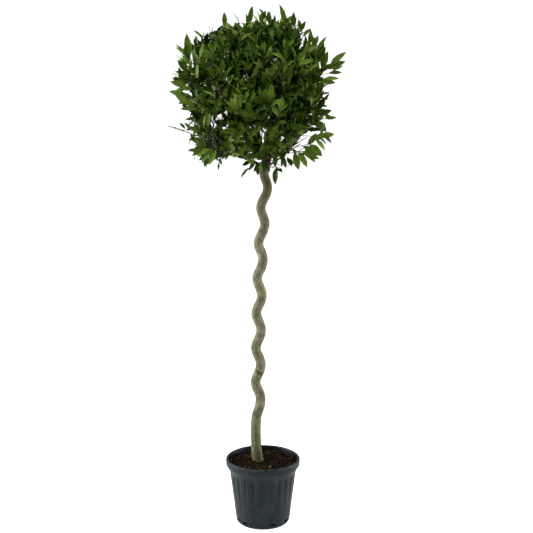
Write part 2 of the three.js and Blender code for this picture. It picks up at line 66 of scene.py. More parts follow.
Colour = tuple[float, float, float]
Triple = tuple[float, float, float]
Pair = tuple[float, float]
Faces = list[tuple[int, ...]]
Rings = list[list[Vector]]
Chance = Callable[[], float]
Mesh = bpy.types.Mesh
Socket = bpy.types.NodeSocket
Sockets = bpy.types.NodeOutputs
NodeTree = bpy.types.NodeTree
Material = bpy.types.Material
Node = bpy.types.Node
Object = bpy.types.Object
Inputs = dict[str | int, object]

MM = 0.001
TURN = 2 * pi
TURN_DEGREES = 360
GOLDEN_ANGLE = pi * (3 - sqrt(5))
UP = Vector((0, 0, 1))
GAP = 0.3
WORD = 0xFFFFFFFF
MASS_NAMES = ("top", *(f"upper_{i}" for i in range(1, 5)), *(f"lower_{i}" for i in range(1, 6)))
BOUGH_NODES = tuple(f"bough_{name}" for name in MASS_NAMES)
FOLIAGE_NODES = tuple(f"foliage_{name}" for name in MASS_NAMES)


# Numbers, directions and lines


def seeded(seed: int) -> Chance:
    """Make a repeatable source of numbers from 0 to 1, the same as in the source of the solids.

    Args:
        seed: The whole number that it starts from.

    Returns:
        A function that gives the next number.
    """
    state = seed & WORD

    def draw() -> float:
        """Draw the next number.

        Returns:
            The number.
        """
        nonlocal state
        state = (state + 0x6D2B79F5) & WORD
        t = ((state ^ (state >> 15)) * (state | 1)) & WORD
        t ^= (t + (((t ^ (t >> 7)) * (t | 61)) & WORD)) & WORD
        return ((t ^ (t >> 14)) & WORD) / 4294967296

    return draw


def mix(start: float, end: float, share: float) -> float:
    """Give the number that lies a share of the way from start to end."""
    return start + (end - start) * share


def eased(value: float, low: float, high: float) -> float:
    """Give 0 below low, 1 above high, and a smooth rise between them."""
    share = min(1.0, max(0.0, (value - low) / (high - low)))
    return share * share * (3 - 2 * share)


def heading(bearing: float, climb: float) -> Vector:
    """Give the unit vector for a bearing from +X to +Y and a climb, in degrees."""
    b, c = radians(bearing), radians(climb)
    return Vector((cos(b) * cos(c), sin(b) * cos(c), sin(c)))


def rough(point: Vector, scale: float, seed: float = 0.0) -> float:
    """Give smooth noise from -1 to 1 at a point, with features as large as scale."""
    return noise.noise(point / scale + Vector((seed, 1.7 * seed, 2.3 * seed)))


def around(side: Vector, axis: Vector, turn: float) -> Vector:
    """Turn a vector about an axis that it is square to, by an angle in radians."""
    return side * cos(turn) + axis.cross(side) * sin(turn)


class Line:
    """A smooth line through space, in millimetres, that is read by shares of its length."""

    def __init__(self, at: Callable[[float], Vector], steps: int = 40) -> None:
        """Walk along a function of a share and keep the way.

        Args:
            at: Gives the point for a number from 0 to 1.
            steps: How many straight steps stand for the line.
        """
        self.points = [at(i / steps) for i in range(steps + 1)]
        self.walked = [0.0]
        for a, b in zip(self.points, self.points[1:]):
            self.walked.append(self.walked[-1] + (b - a).length)
        self.length = self.walked[-1]

    def point(self, share: float) -> Vector:
        """Give a point of the line.

        Args:
            share: The share of the length.

        Returns:
            The point.
        """
        wanted = min(1.0, max(0.0, share)) * self.length
        i = min(len(self.points) - 2, max(0, bisect.bisect_right(self.walked, wanted) - 1))
        step = self.walked[i + 1] - self.walked[i]
        return self.points[i].lerp(self.points[i + 1], (wanted - self.walked[i]) / step if step else 0.0)

    def direction(self, share: float) -> Vector:
        """Give the unit vector along the line at a share of the length."""
        near = 0.5 / (len(self.points) - 1)
        return (self.point(min(1.0, share + near)) - self.point(max(0.0, share - near))).normalized()

    def part(self, start: float, end: float) -> "Line":
        """Give the stretch between two shares as a line of its own."""
        return Line(lambda share: self.point(mix(start, end, share)), len(self.points) - 1)


def arc(*corners: Vector) -> Line:
    """Draw a smooth curve.

    Args:
        corners: Three or four control points.

    Returns:
        The curve.
    """
    if len(corners) == 3:
        a, b, c = corners
        return Line(lambda t: a * (1 - t) ** 2 + b * (2 * t * (1 - t)) + c * t**2)
    a, b, c, d = corners
    return Line(lambda t: a * (1 - t) ** 3 + b * (3 * t * (1 - t) ** 2) + c * (3 * t**2 * (1 - t)) + d * t**3)


# Meshes


def mesh_from(name: str, points: Sequence[Vector], faces: Faces, smooth: bool = True) -> Mesh:
    """Make a mesh in metres from points in millimetres.

    Args:
        name: The mesh's name.
        points: The points.
        faces: Each face's corners, anticlockwise from outside.
        smooth: Whether they are shaded smooth.

    Returns:
        The mesh.
    """
    mesh = bpy.data.meshes.new(name)
    mesh.from_pydata([point * MM for point in points], [], faces)
    mesh.polygons.foreach_set("use_smooth", [smooth] * len(mesh.polygons))
    mesh.update()
    return mesh


def carry(mesh: Mesh, key: str, kind: str, domain: str, values: Sequence[float]) -> None:
    """Let a mesh carry a value or a vector at each of its points, edges or faces."""
    field_name = "vector" if kind == "FLOAT_VECTOR" else "value"
    mesh.attributes.new(key, kind, domain).data.foreach_set(field_name, values)


def add_object(name: str, data: bpy.types.ID) -> Object:
    """Add an object to the scene.

    Args:
        name: Its name.
        data: Its mesh, lamp or camera.

    Returns:
        The object.
    """
    one = bpy.data.objects.new(name, data)
    bpy.context.scene.collection.objects.link(one)
    return one


def show(name: str, mesh: Mesh, nodes: Iterable[str]) -> None:
    """Add a finished piece to the tree in place of its solids.

    Args:
        name: The piece's name.
        mesh: Its mesh, dressed and in place.
        nodes: The solids that it stands for.
    """
    piece = add_object(name, mesh)
    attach(piece, "root")
    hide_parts(*nodes)
    mesh.calc_loop_triangles()
    logger.info("%s: %d triangles", name, len(mesh.loop_triangles))


@dataclass
class Skin:
    """Points and faces gathered into one mesh, with values that its finish reads."""

    points: list[Vector] = field(default_factory=list)
    faces: Faces = field(default_factory=list)
    values: dict[str, list[float]] = field(default_factory=dict)

    def mesh(self, name: str) -> Mesh:
        """Make the mesh, with its values as attributes of its points.

        Args:
            name: The mesh's name.

        Returns:
            The mesh.
        """
        mesh = mesh_from(name, self.points, self.faces)
        for key, numbers in self.values.items():
            carry(mesh, key, "FLOAT", "POINT", numbers)
        return mesh

    def add_rings(self, rings: Rings, close_ends: bool = True) -> None:
        """Add a tube.

        Args:
            rings: Rings of points that run anticlockwise, seen from the last one.
            close_ends: Whether faces close its ends.
        """
        first = len(self.points)
        sides = len(rings[0])
        for ring in rings:
            self.points.extend(ring)
        for i in range(len(rings) - 1):
            for k in range(sides):
                a = first + i * sides + k
                b = first + i * sides + (k + 1) % sides
                self.faces.append((a, b, b + sides, a + sides))
        if close_ends:
            last = first + (len(rings) - 1) * sides
            self.faces.append(tuple(first + k for k in reversed(range(sides))))
            self.faces.append(tuple(last + k for k in range(sides)))


def rings_along(
    line: Line,
    radius: Callable[[float, Vector], float],
    rings: int,
    sides: int,
    relief: Callable[[Vector, Vector], float],
) -> Rings:
    """Lay rings of points round a line, turned as little as can be.

    Args:
        line: The middle of the limb.
        radius: Gives the radius from a share of the length and the middle there.
        rings: How many steps there are along the limb.
        sides: How many points each ring has.
        relief: Gives how far a point stands out, from the point and the unit vector outwards.

    Returns:
        The rings, from the first end to the last.
    """
    ahead = line.direction(0)
    side = ahead.orthogonal().normalized()
    made = []
    for i in range(rings + 1):
        share = i / rings
        turned_ahead = line.direction(share)
        side = ahead.rotation_difference(turned_ahead) @ side
        ahead = turned_ahead
        side = (side - ahead * side.dot(ahead)).normalized()
        middle = line.point(share)
        reach = radius(share, middle)
        ring = []
        for k in range(sides):
            outward = around(side, ahead, TURN * k / sides)
            point = middle + outward * reach
            ring.append(point + outward * relief(point, outward))
        made.append(ring)
    return made


# Node trees


def socket_of(sockets: Iterable[Socket], key: str | int) -> Socket:
    """Find a socket by its identifier, or else by its place or name."""
    known = {socket.identifier: socket for socket in sockets}
    return known[key] if key in known else sockets[key]


@dataclass
class Bench:
    """A node tree that nodes are added to, with their sockets set or linked."""

    tree: NodeTree

    def add(self, kind: str, sockets: Inputs | None = None, **settings: object) -> Node:
        """Add one node.

        Args:
            kind: The node's type.
            sockets: A value or another node's output for each input.
            settings: The node's own settings.

        Returns:
            The node.
        """
        node = self.tree.nodes.new(kind)
        for name, value in settings.items():
            setattr(node, name, value)
        for key, value in (sockets or {}).items():
            socket = socket_of(node.inputs, key)
            if isinstance(value, Socket):
                self.tree.links.new(value, socket)
            else:
                socket.default_value = value
        return node

    def sum(self, operation: str, first: object, second: object) -> Socket:
        """Add a sum of two numbers or sockets and give its result."""
        return self.add("ShaderNodeMath", {0: first, 1: second}, operation=operation).outputs[0]

    def times(self, first: object, second: object) -> Socket:
        """Multiply two numbers or sockets."""
        return self.sum("MULTIPLY", first, second)

    def plus(self, first: object, second: object) -> Socket:
        """Add two numbers or sockets."""
        return self.sum("ADD", first, second)

    def less(self, first: object, second: object) -> Socket:
        """Take a number or socket from another."""
        return self.sum("SUBTRACT", first, second)

    def vector(self, operation: str, first: object, second: object) -> Socket:
        """Add a sum of two vectors and give its result."""
        return self.add("ShaderNodeVectorMath", {0: first, 1: second}, operation=operation).outputs[0]

    def blend(self, share: object, first: object, second: object) -> Socket:
        """Add a mix of two colours and give its result."""
        sockets = {"Factor_Float": share, "A_Color": rgba(first), "B_Color": rgba(second)}
        return socket_of(self.add("ShaderNodeMix", sockets, data_type="RGBA").outputs, "Result_Color")

    def band(self, value: object, low: object, high: object) -> Socket:
        """Give 0 where a value is below low, 1 above high, and a smooth rise between."""
        sockets = {"Value": value, "From Min": low, "From Max": high}
        return self.add("ShaderNodeMapRange", sockets, interpolation_type="SMOOTHSTEP").outputs[0]


def rgba(colour: object) -> object:
    """Give a plain colour its fourth number, and leave a socket as it is."""
    return (*colour, 1.0) if isinstance(colour, tuple) else colour


def open_group(
    name: str, kind: str, inputs: dict[str, tuple[str, object]], outputs: dict[str, str]
) -> tuple[Bench, Node]:
    """Start a node group with named sockets.

    Args:
        name: The group's name.
        kind: The type of tree.
        inputs: Each input's socket type and first value.
        outputs: Each output's socket type.

    Returns:
        Its bench, and the node that its inputs come from.
    """
    tree = bpy.data.node_groups.new(name, kind)
    for key, (socket_type, value) in inputs.items():
        socket = tree.interface.new_socket(name=key, in_out="INPUT", socket_type=f"NodeSocket{socket_type}")
        if value is not None:
            socket.default_value = value
    for key, socket_type in outputs.items():
        tree.interface.new_socket(name=key, in_out="OUTPUT", socket_type=f"NodeSocket{socket_type}")
    bench = Bench(tree)
    return bench, bench.add("NodeGroupInput")


def open_effect(name: str, **numbers: float) -> tuple[Bench, Sockets, Socket]:
    """Start the group of an effect.

    Args:
        name: The effect.
        numbers: First values of its own inputs.

    Returns:
        Its bench, its inputs, and its place squeezed by Stretch.
    """
    inputs = {"Place": ("Vector", None), "Stretch": ("Float", 1.0), "Scale": ("Float", 60.0)}
    inputs.update((key, ("Float", value)) for key, value in numbers.items())
    bench, start = open_group(name, "ShaderNodeTree", inputs, {"Result": "Float"})
    squeeze = bench.add("ShaderNodeCombineXYZ", {0: 1.0, 1: 1.0, 2: start.outputs["Stretch"]})
    return bench, start.outputs, bench.vector("MULTIPLY", start.outputs["Place"], squeeze.outputs[0])


@cache
def mottle_group() -> NodeTree:
    """Build the group for soft patches.

    Returns:
        The group, whose result rises as the noise goes from Low to High.
    """
    bench, given, place = open_effect("mottle", Low=0.4, High=0.6)
    clouds = bench.add("ShaderNodeTexNoise", {"Vector": place, "Scale": given["Scale"], "Detail": 5.0})
    bench.add("NodeGroupOutput", {"Result": bench.band(clouds.outputs[0], given["Low"], given["High"])})
    return bench.tree


@cache
def grain_group() -> NodeTree:
    """Build the group for small pits among smooth swells.

    Returns:
        The group, whose result is their height.
    """
    bench, given, place = open_effect("grain", Pits=0.3)
    swells = bench.add("ShaderNodeTexNoise", {"Vector": place, "Scale": given["Scale"], "Detail": 3.0})
    cells = bench.add("ShaderNodeTexVoronoi", {"Vector": place, "Scale": given["Scale"]})
    pits = bench.times(cells.outputs["Distance"], given["Pits"])
    bench.add("NodeGroupOutput", {"Result": bench.plus(swells.outputs[0], pits)})
    return bench.tree


@dataclass
class Coat:
    """A new material with its bench, its shader and its coordinates."""

    name: str

    def __post_init__(self) -> None:
        """Make the material and find its parts."""
        self.material = bpy.data.materials.new(self.name)
        self.material.use_nodes = True
        self.bench = Bench(self.material.node_tree)
        self.shader = self.material.node_tree.nodes["Principled BSDF"]
        self.place = self.bench.add("ShaderNodeTexCoord").outputs["Object"]

    def set(self, **values: object) -> "Coat":
        """Set or link some of the shader's sockets.

        Args:
            values: What goes into each, named with underscores for spaces.

        Returns:
            The coat.
        """
        for name, value in values.items():
            socket = self.shader.inputs[name.replace("_", " ")]
            if isinstance(value, Socket):
                self.bench.tree.links.new(value, socket)
            else:
                socket.default_value = rgba(value)
        return self

    def effect(self, group: NodeTree, **sockets: object) -> Socket:
        """Place an effect's group and give its result."""
        inputs = {"Place": self.place, **sockets}
        return self.bench.add("ShaderNodeGroup", inputs, node_tree=group).outputs[0]

    def mottle(self, scale: float, low: float = 0.4, high: float = 0.6, stretch: float = 1.0) -> Socket:
        """Give the mask of soft patches, scale of them to the metre."""
        return self.effect(mottle_group(), Scale=scale, Low=low, High=high, Stretch=stretch)

    def grain(self, scale: float, pits: float = 0.3, stretch: float = 1.0) -> Socket:
        """Give the height of a fine uneven surface, scale swells to the metre."""
        return self.effect(grain_group(), Scale=scale, Pits=pits, Stretch=stretch)

    def bump(self, height: Socket, distance: float, strength: float = 1.0) -> "Coat":
        """Lead a height in millimetres into the shader's normal."""
        sockets = {"Height": height, "Distance": distance * MM, "Strength": strength}
        return self.set(Normal=self.bench.add("ShaderNodeBump", sockets).outputs[0])


# Finishes


@dataclass(frozen=True)
class PlasticFinish:
    """Dark slate plastic, chalky where it is worn, with dust and a splash of soil."""

    dark: Colour = (0.0041, 0.0071, 0.0095)
    pale: Colour = (0.0142, 0.0216, 0.0266)
    soil: Colour = (0.050, 0.036, 0.025)
    dust: Colour = (0.085, 0.086, 0.082)
    splash: Triple = (0.062, -0.128, 0.205)

    def make(self) -> Material:
        """Build the material.

        Returns:
            The material.
        """
        coat = Coat("slate_plastic")
        bench = coat.bench
        streaks = coat.mottle(34, 0.38, 0.66, 0.22)
        clouds = coat.mottle(11, 0.35, 0.7)
        worn = bench.times(streaks, bench.plus(bench.times(clouds, 0.6), 0.25))
        colour = bench.blend(worn, self.dark, self.pale)
        normal = bench.add("ShaderNodeSeparateXYZ", {0: bench.add("ShaderNodeNewGeometry").outputs["Normal"]})
        laid = bench.plus(bench.band(normal.outputs["Z"], -0.2, 1.0), 0.35)
        laid = bench.times(bench.times(laid, 0.22), coat.mottle(60, 0.42, 0.72))
        colour = bench.blend(laid, colour, self.dust)
        flat = bench.vector("MULTIPLY", bench.vector("SUBTRACT", coat.place, self.splash), (1.0, 1.0, 2.6))
        far = bench.add("ShaderNodeVectorMath", {0: flat}, operation="LENGTH").outputs["Value"]
        near = bench.less(1.0, bench.band(far, 0.006, 0.058))
        splashed = bench.times(near, coat.mottle(70, 0.3, 0.62))
        colour = bench.blend(bench.times(splashed, 0.75), colour, self.soil)
        roughness = bench.plus(bench.times(clouds, 0.16), 0.44)
        roughness = bench.plus(roughness, bench.times(splashed, 0.2))
        coat.set(Base_Color=colour, Roughness=roughness)
        coat.set(Specular_IOR_Level=0.27, Specular_Tint=(0.80, 0.96, 1.0))
        coat.set(Sheen_Weight=0.10, Sheen_Roughness=0.4, Sheen_Tint=(0.85, 0.96, 1.0))
        return coat.bump(coat.grain(620, 0.25, 0.5), 0.22, 0.5).material


@dataclass(frozen=True)
class BarkFinish:
    """Smooth olive bark with pale flecks, low algae, browner wood and painted crown shadow high up, and dark
    cuts.
    """

    name: str = "olive_bark"
    base: Colour = (0.240, 0.236, 0.143)
    pale: Colour = (0.372, 0.364, 0.268)
    brown: Colour = (0.097, 0.086, 0.044)
    green: Colour = (0.118, 0.120, 0.058)
    dark: Colour = (0.030, 0.026, 0.016)
    browner_and_shaded: Pair = (1.08, 1.32)

    def make(self) -> Material:
        """Build the material.

        Returns:
            The material.
        """
        coat = Coat(self.name)
        bench = coat.bench
        height = bench.add("ShaderNodeSeparateXYZ", {0: coat.place}).outputs["Z"]
        patches = bench.times(coat.mottle(52, 0.34, 0.70, 0.6), 0.8)
        colour = bench.blend(patches, self.base, self.brown)
        colour = bench.blend(bench.times(coat.mottle(95, 0.5, 0.68, 0.45), 0.5), colour, self.pale)
        low = bench.less(1.0, bench.band(height, 0.24, 0.62))
        amount = bench.plus(bench.times(low, 0.7), 0.2)
        algae = bench.times(coat.mottle(34, 0.34, 0.62, 0.7), amount)
        colour = bench.blend(algae, colour, self.green)
        # Browner higher up and darker at the top: partly the wood's tone, partly painted shadow of the crown.
        high = bench.band(height, *self.browner_and_shaded)
        colour = bench.blend(bench.times(high, 0.9), colour, self.brown)
        specks = bench.times(coat.mottle(300, 0.57, 0.68), 0.75)
        colour = bench.blend(specks, colour, self.dark)
        # Stains of the bark, with painted shade in the stem's fissures.
        stain = bench.add("ShaderNodeAttribute", attribute_name="stain").outputs["Fac"]
        colour = bench.blend(stain, colour, self.dark)
        coat.set(Base_Color=colour, Roughness=0.88, Specular_IOR_Level=0.08)
        return coat.bump(coat.grain(700, 0.5, 0.45), 0.35, 0.8).material


@dataclass(frozen=True)
class PatchyFinish:
    """A finish of one colour with soft patches of another, over a fine grain.

    The patches are their number to the metre and where they start and end; the grain is its number to the
    metre, its pits and its stretch; the relief is its height in millimetres and its strength.
    """

    name: str
    base: Colour
    other: Colour
    patches: Triple = (45, 0.38, 0.62)
    roughness: float = 0.6
    specular: float = 0.4
    grain: Triple = (900, 0.3, 0.5)
    relief: Pair = (0.2, 0.5)

    def make(self) -> Material:
        """Build the material.

        Returns:
            The material.
        """
        coat = Coat(self.name)
        colour = coat.bench.blend(coat.mottle(*self.patches), self.base, self.other)
        coat.set(Base_Color=colour, Roughness=self.roughness, Specular_IOR_Level=self.specular)
        return coat.bump(coat.grain(*self.grain), *self.relief).material


class Side(Enum):
    """The parts of a leaf that have a colour of their own."""

    UPPER = "upper"
    UNDER = "under"
    RIB = "rib"


@dataclass(frozen=True)
class LeafFinish:
    """One plain colour for each side of a leaf: waxy above, matt below."""

    name: str
    upper: Colour
    under: Colour
    rib: Colour

    def make(self) -> dict[Side, Material]:
        """Build the materials.

        Returns:
            One for each side of the leaf.
        """
        made = {}
        for side, colour, roughness, wax in (
            (Side.UPPER, self.upper, 0.34, 0.02),
            (Side.UNDER, self.under, 0.68, 0.0),
            (Side.RIB, self.rib, 0.55, 0.0),
        ):
            coat = Coat(f"leaf_{self.name}_{side.value}")
            coat.set(Base_Color=colour, Roughness=roughness, Coat_Weight=wax, Coat_Roughness=0.3)
            coat.set(Specular_IOR_Level=0.17, Specular_Tint=(0.75, 1.0, 0.35))
            if side is not Side.RIB:
                coat.bump(coat.grain(170, 0.5), 0.5, 0.6)
            made[side] = coat.material
        return made


class Spray(Enum):
    """The shades dealt to sprays of leaves, oldest to youngest; the darkest also stand for painted shade."""

    DEEP = LeafFinish("deep", (0.0074, 0.0268, 0.0050), (0.027, 0.052, 0.007), (0.042, 0.070, 0.010))
    DARK = LeafFinish("dark", (0.0128, 0.0460, 0.0066), (0.041, 0.080, 0.009), (0.070, 0.112, 0.016))
    MID = LeafFinish("mid", (0.0430, 0.0815, 0.0038), (0.062, 0.118, 0.013), (0.112, 0.170, 0.024))
    FRESH = LeafFinish("fresh", (0.0760, 0.1500, 0.0060), (0.104, 0.168, 0.028), (0.175, 0.240, 0.040))
    YOUNG = LeafFinish("young", (0.1500, 0.2500, 0.0200), (0.160, 0.232, 0.042), (0.250, 0.315, 0.070))


DEEP, DARK, MID, FRESH, YOUNG = Spray


# Making by node trees


def plain_mesh(source: Object, name: str) -> Mesh:
    """Take what an object's modifiers make, and remove the object.

    Args:
        source: The object.
        name: The mesh's name.

    Returns:
        The mesh.
    """
    bpy.context.view_layer.update()
    graph = bpy.context.evaluated_depsgraph_get()
    shaped = source.evaluated_get(graph)
    made = bpy.data.meshes.new_from_object(shaped, preserve_all_data_layers=True, depsgraph=graph)
    made.name = name
    bpy.data.objects.remove(source)
    return made


def run_tree(tree: NodeTree, mesh: Mesh, inputs: dict[str, object], name: str) -> Mesh:
    """Run a geometry tree on a mesh.

    Args:
        tree: The tree.
        mesh: What its Geometry input holds.
        inputs: A value for each of its other inputs, by name.
        name: The result's name.

    Returns:
        The result as a plain mesh.
    """
    source = add_object(f"{name}_source", mesh)
    modifier = source.modifiers.new("grow", "NODES")
    modifier.node_group = tree
    for item in tree.interface.items_tree:
        if item.item_type == "SOCKET" and item.in_out == "INPUT" and item.name in inputs:
            modifier[item.identifier] = inputs[item.name]
    return plain_mesh(source, name)


def cut_away(mesh: Mesh, cutter: Mesh) -> Mesh:
    """Cut one closed mesh out of another.

    Args:
        mesh: The body.
        cutter: What is cut out of it.

    Returns:
        What is left.
    """
    body = add_object("cut_body", mesh)
    tool = add_object("cut_tool", cutter)
    modifier = body.modifiers.new("cut", "BOOLEAN")
    modifier.operation = "DIFFERENCE"
    modifier.solver = "EXACT"
    modifier.object = tool
    made = plain_mesh(body, mesh.name)
    bpy.data.objects.remove(tool)
    return made


@dataclass
class Placed:
    """Copies of shapes: where each stands, its turn, its size and its shape's number."""

    places: list[Vector] = field(default_factory=list)
    turns: list[Euler] = field(default_factory=list)
    sizes: list[float] = field(default_factory=list)
    shapes: list[int] = field(default_factory=list)

    def add(self, place: Vector, axes: Sequence[Vector], size: float, shape: int) -> None:
        """Add one copy.

        Args:
            place: Where it stands.
            axes: The directions of its own X, Y and Z axes.
            size: Its size.
            shape: Its shape's number.
        """
        self.places.append(place)
        self.turns.append(Matrix(axes).transposed().to_euler())
        self.sizes.append(size)
        self.shapes.append(shape)

    def split(self, most: int) -> "list[Placed]":
        """Deal the copies into even parts.

        Args:
            most: How many copies a part may have.

        Returns:
            The parts.
        """
        parts = max(1, ceil(len(self.places) / most))
        kept = (self.places, self.turns, self.sizes, self.shapes)
        return [Placed(*(values[i::parts] for values in kept)) for i in range(parts)]

    def points(self, name: str) -> Mesh:
        """Give a mesh of bare points that carry the turns, sizes and shapes.

        Args:
            name: Its name.

        Returns:
            The mesh.
        """
        mesh = mesh_from(name, self.places, [])
        carry(mesh, "turn", "FLOAT_VECTOR", "POINT", [number for turn in self.turns for number in turn])
        carry(mesh, "size", "FLOAT", "POINT", self.sizes)
        carry(mesh, "shape", "INT", "POINT", self.shapes)
        return mesh


# Geometry trees, which make what repeats


TREE_INPUTS = {"Geometry": ("Geometry", None), "Material": ("Material", None)}


def open_tree(name: str, **inputs: tuple[str, object]) -> tuple[Bench, Sockets]:
    """Start a tree with inputs of its own, and give its bench and inputs."""
    bench, start = open_group(name, "GeometryNodeTree", TREE_INPUTS | inputs, {"Geometry": "Geometry"})
    return bench, start.outputs


def carried(bench: Bench, name: str, kind: str) -> Socket:
    """Read a value that the mesh carries."""
    node = bench.add("GeometryNodeInputNamedAttribute", {"Name": name}, data_type=kind)
    return node.outputs["Attribute"]


def by_chance(bench: Bench, kind: str, low: object, high: object, seed: object) -> Socket:
    """Give a number or a vector by chance.

    Args:
        bench: The tree's bench.
        kind: The kind of value.
        low: The least.
        high: The most.
        seed: Where the numbers start.

    Returns:
        The result.
    """
    ending = {"FLOAT": "_001", "INT": "_002", "FLOAT_VECTOR": ""}[kind]
    sockets = {f"Min{ending}": low, f"Max{ending}": high, "Seed": seed}
    node = bench.add("FunctionNodeRandomValue", sockets, data_type=kind)
    return socket_of(node.outputs, f"Value{ending}")


def stand_shapes(
    bench: Bench, points: Socket, shapes: Socket, which: Socket, turn: Socket, scale: Socket
) -> Socket:
    """Stand a collection's shapes at points.

    Args:
        bench: The tree's bench.
        points: The points.
        shapes: The collection.
        which: The number of each point's shape.
        turn: How each is turned, as Euler angles.
        scale: How large each is.

    Returns:
        The copies.
    """
    whole = {"Collection": shapes, "Separate Children": True, "Reset Children": True}
    kinds = bench.add("GeometryNodeCollectionInfo", whole)
    rotation = bench.add("FunctionNodeEulerToRotation", {"Euler": turn})
    sockets = {"Points": points, "Instance": kinds.outputs[0], "Pick Instance": True, "Instance Index": which}
    sockets.update({"Rotation": rotation.outputs[0], "Scale": scale})
    return bench.add("GeometryNodeInstanceOnPoints", sockets).outputs[0]


def end_tree(bench: Bench, given: Sockets, made: Socket, parts: Sequence[str] = ()) -> NodeTree:
    """End a tree: make its copies real and dress them.

    Args:
        bench: Its bench.
        given: Its inputs.
        made: What it made.
        parts: The marked faces that have a material of their own.

    Returns:
        The tree.
    """
    grown = bench.add("GeometryNodeRealizeInstances", {"Geometry": made})
    sockets = {"Geometry": grown.outputs[0], "Material": given["Material"]}
    dressed = bench.add("GeometryNodeSetMaterial", sockets)
    for part in parts:
        chosen = carried(bench, part, "BOOLEAN")
        sockets = {"Geometry": dressed.outputs[0], "Selection": chosen, "Material": given[part]}
        dressed = bench.add("GeometryNodeSetMaterial", sockets)
    bench.add("NodeGroupOutput", {"Geometry": dressed.outputs[0]})
    return bench.tree


def placed_copies(parts: Sequence[str] = ()) -> NodeTree:
    """Build the tree that stands one of several shapes at each point of a mesh.

    Args:
        parts: The marked faces that have a material of their own.

    Returns:
        The tree, with inputs Shapes, Spread and Seed, and one for each part.
    """
    own = {"Shapes": ("Collection", None), "Spread": ("Float", 0.1), "Seed": ("Int", 0)}
    own.update((part, ("Material", None)) for part in parts)
    bench, given = open_tree("placed_copies", **own)
    least = bench.less(1.0, given["Spread"])
    most = bench.plus(1.0, given["Spread"])
    factor = by_chance(bench, "FLOAT", least, most, given["Seed"])
    scale = bench.times(carried(bench, "size", "FLOAT"), factor)
    which = carried(bench, "shape", "INT")
    turn = carried(bench, "turn", "FLOAT_VECTOR")
    made = stand_shapes(bench, given["Geometry"], given["Shapes"], which, turn, scale)
    return end_tree(bench, given, made, parts)


def scattered_chips() -> NodeTree:
    """Build the tree that scatters shapes, laid nearly flat, over a surface's open faces.

    Returns:
        The tree, with inputs for the shapes, their number, sizes and tumble, and the seed.
    """
    numbers = {"Density": 1000.0, "Smallest": 0.6, "Largest": 1.4, "Tumble": 0.4}
    own = {key: ("Float", value) for key, value in numbers.items()}
    bench, given = open_tree("scattered_chips", Shapes=("Collection", None), Seed=("Int", 0), **own)
    seed, tumble = given["Seed"], given["Tumble"]
    sockets = {"Mesh": given["Geometry"], "Selection": carried(bench, "open", "BOOLEAN")}
    sockets.update({"Density": given["Density"], "Seed": seed})
    spots = bench.add("GeometryNodeDistributePointsOnFaces", sockets)
    back = bench.times(tumble, -1.0)
    low = bench.add("ShaderNodeCombineXYZ", {0: back, 1: back})
    high = bench.add("ShaderNodeCombineXYZ", {0: tumble, 1: tumble, 2: TURN})
    turn = by_chance(bench, "FLOAT_VECTOR", low.outputs[0], high.outputs[0], seed)
    size = by_chance(bench, "FLOAT", given["Smallest"], given["Largest"], seed)
    which = by_chance(bench, "INT", 0, 1000, seed)
    made = stand_shapes(bench, spots.outputs[0], given["Shapes"], which, turn, size)
    return end_tree(bench, given, made)


def twig_skin() -> NodeTree:
    """Build the tree that gives a mesh of edges a round skin.

    Returns:
        The tree, whose skin is as thick as the points say, with inputs Sides and Thickness.
    """
    bench, given = open_tree("twig_skin", Sides=("Int", 5), Thickness=("Float", 1.0))
    lines = bench.add("GeometryNodeMeshToCurve", {"Mesh": given["Geometry"]})
    ring = bench.add("GeometryNodeCurvePrimitiveCircle", {"Resolution": given["Sides"], "Radius": 1.0})
    girth = bench.times(carried(bench, "girth", "FLOAT"), given["Thickness"])
    sockets = {"Curve": lines.outputs[0], "Profile Curve": ring.outputs[0], "Scale": girth, "Fill Caps": True}
    skin = bench.add("GeometryNodeCurveToMesh", sockets)
    smooth = bench.add("GeometryNodeSetShadeSmooth", {"Geometry": skin.outputs[0], "Shade Smooth": True})
    return end_tree(bench, given, smooth.outputs[0])


def shape_collection(name: str, meshes: Sequence[Mesh]) -> bpy.types.Collection:
    """Gather the shapes that a tree copies.

    Args:
        name: Its name.
        meshes: The shapes, in the order of their numbers.

    Returns:
        The collection.
    """
    gathered = bpy.data.collections.new(name)
    for i, mesh in enumerate(meshes):
        gathered.objects.link(bpy.data.objects.new(f"{name}_{i:02d}", mesh))
    return gathered


def drop_collection(gathered: bpy.types.Collection) -> None:
    """Remove the shapes once their copies are made.

    Args:
        gathered: Their collection.
    """
    for one in list(gathered.objects):
        bpy.data.objects.remove(one)
    bpy.data.collections.remove(gathered)


# The pot


def rounded(corners: Sequence[Triple], steps: int = 4) -> list[Pair]:
    """Round the corners of an open outline.

    Args:
        corners: Each corner's radius from the axis, its height, and how far its rounding reaches.
        steps: How many straight steps stand for a rounding.

    Returns:
        The outline as pairs of radius and height.
    """
    made = [corners[0][:2]]
    for before, here, after in zip(corners, corners[1:], corners[2:]):
        corner = Vector(here[:2])
        back = (Vector(before[:2]) - corner).normalized() * here[2]
        forth = (Vector(after[:2]) - corner).normalized() * here[2]
        if here[2] == 0:
            made.append(here[:2])
            continue
        for i in range(steps + 1):
            t = i / steps
            made.append(tuple(corner + back * (1 - t) ** 2 + forth * t**2))
    made.append(corners[-1][:2])
    return made


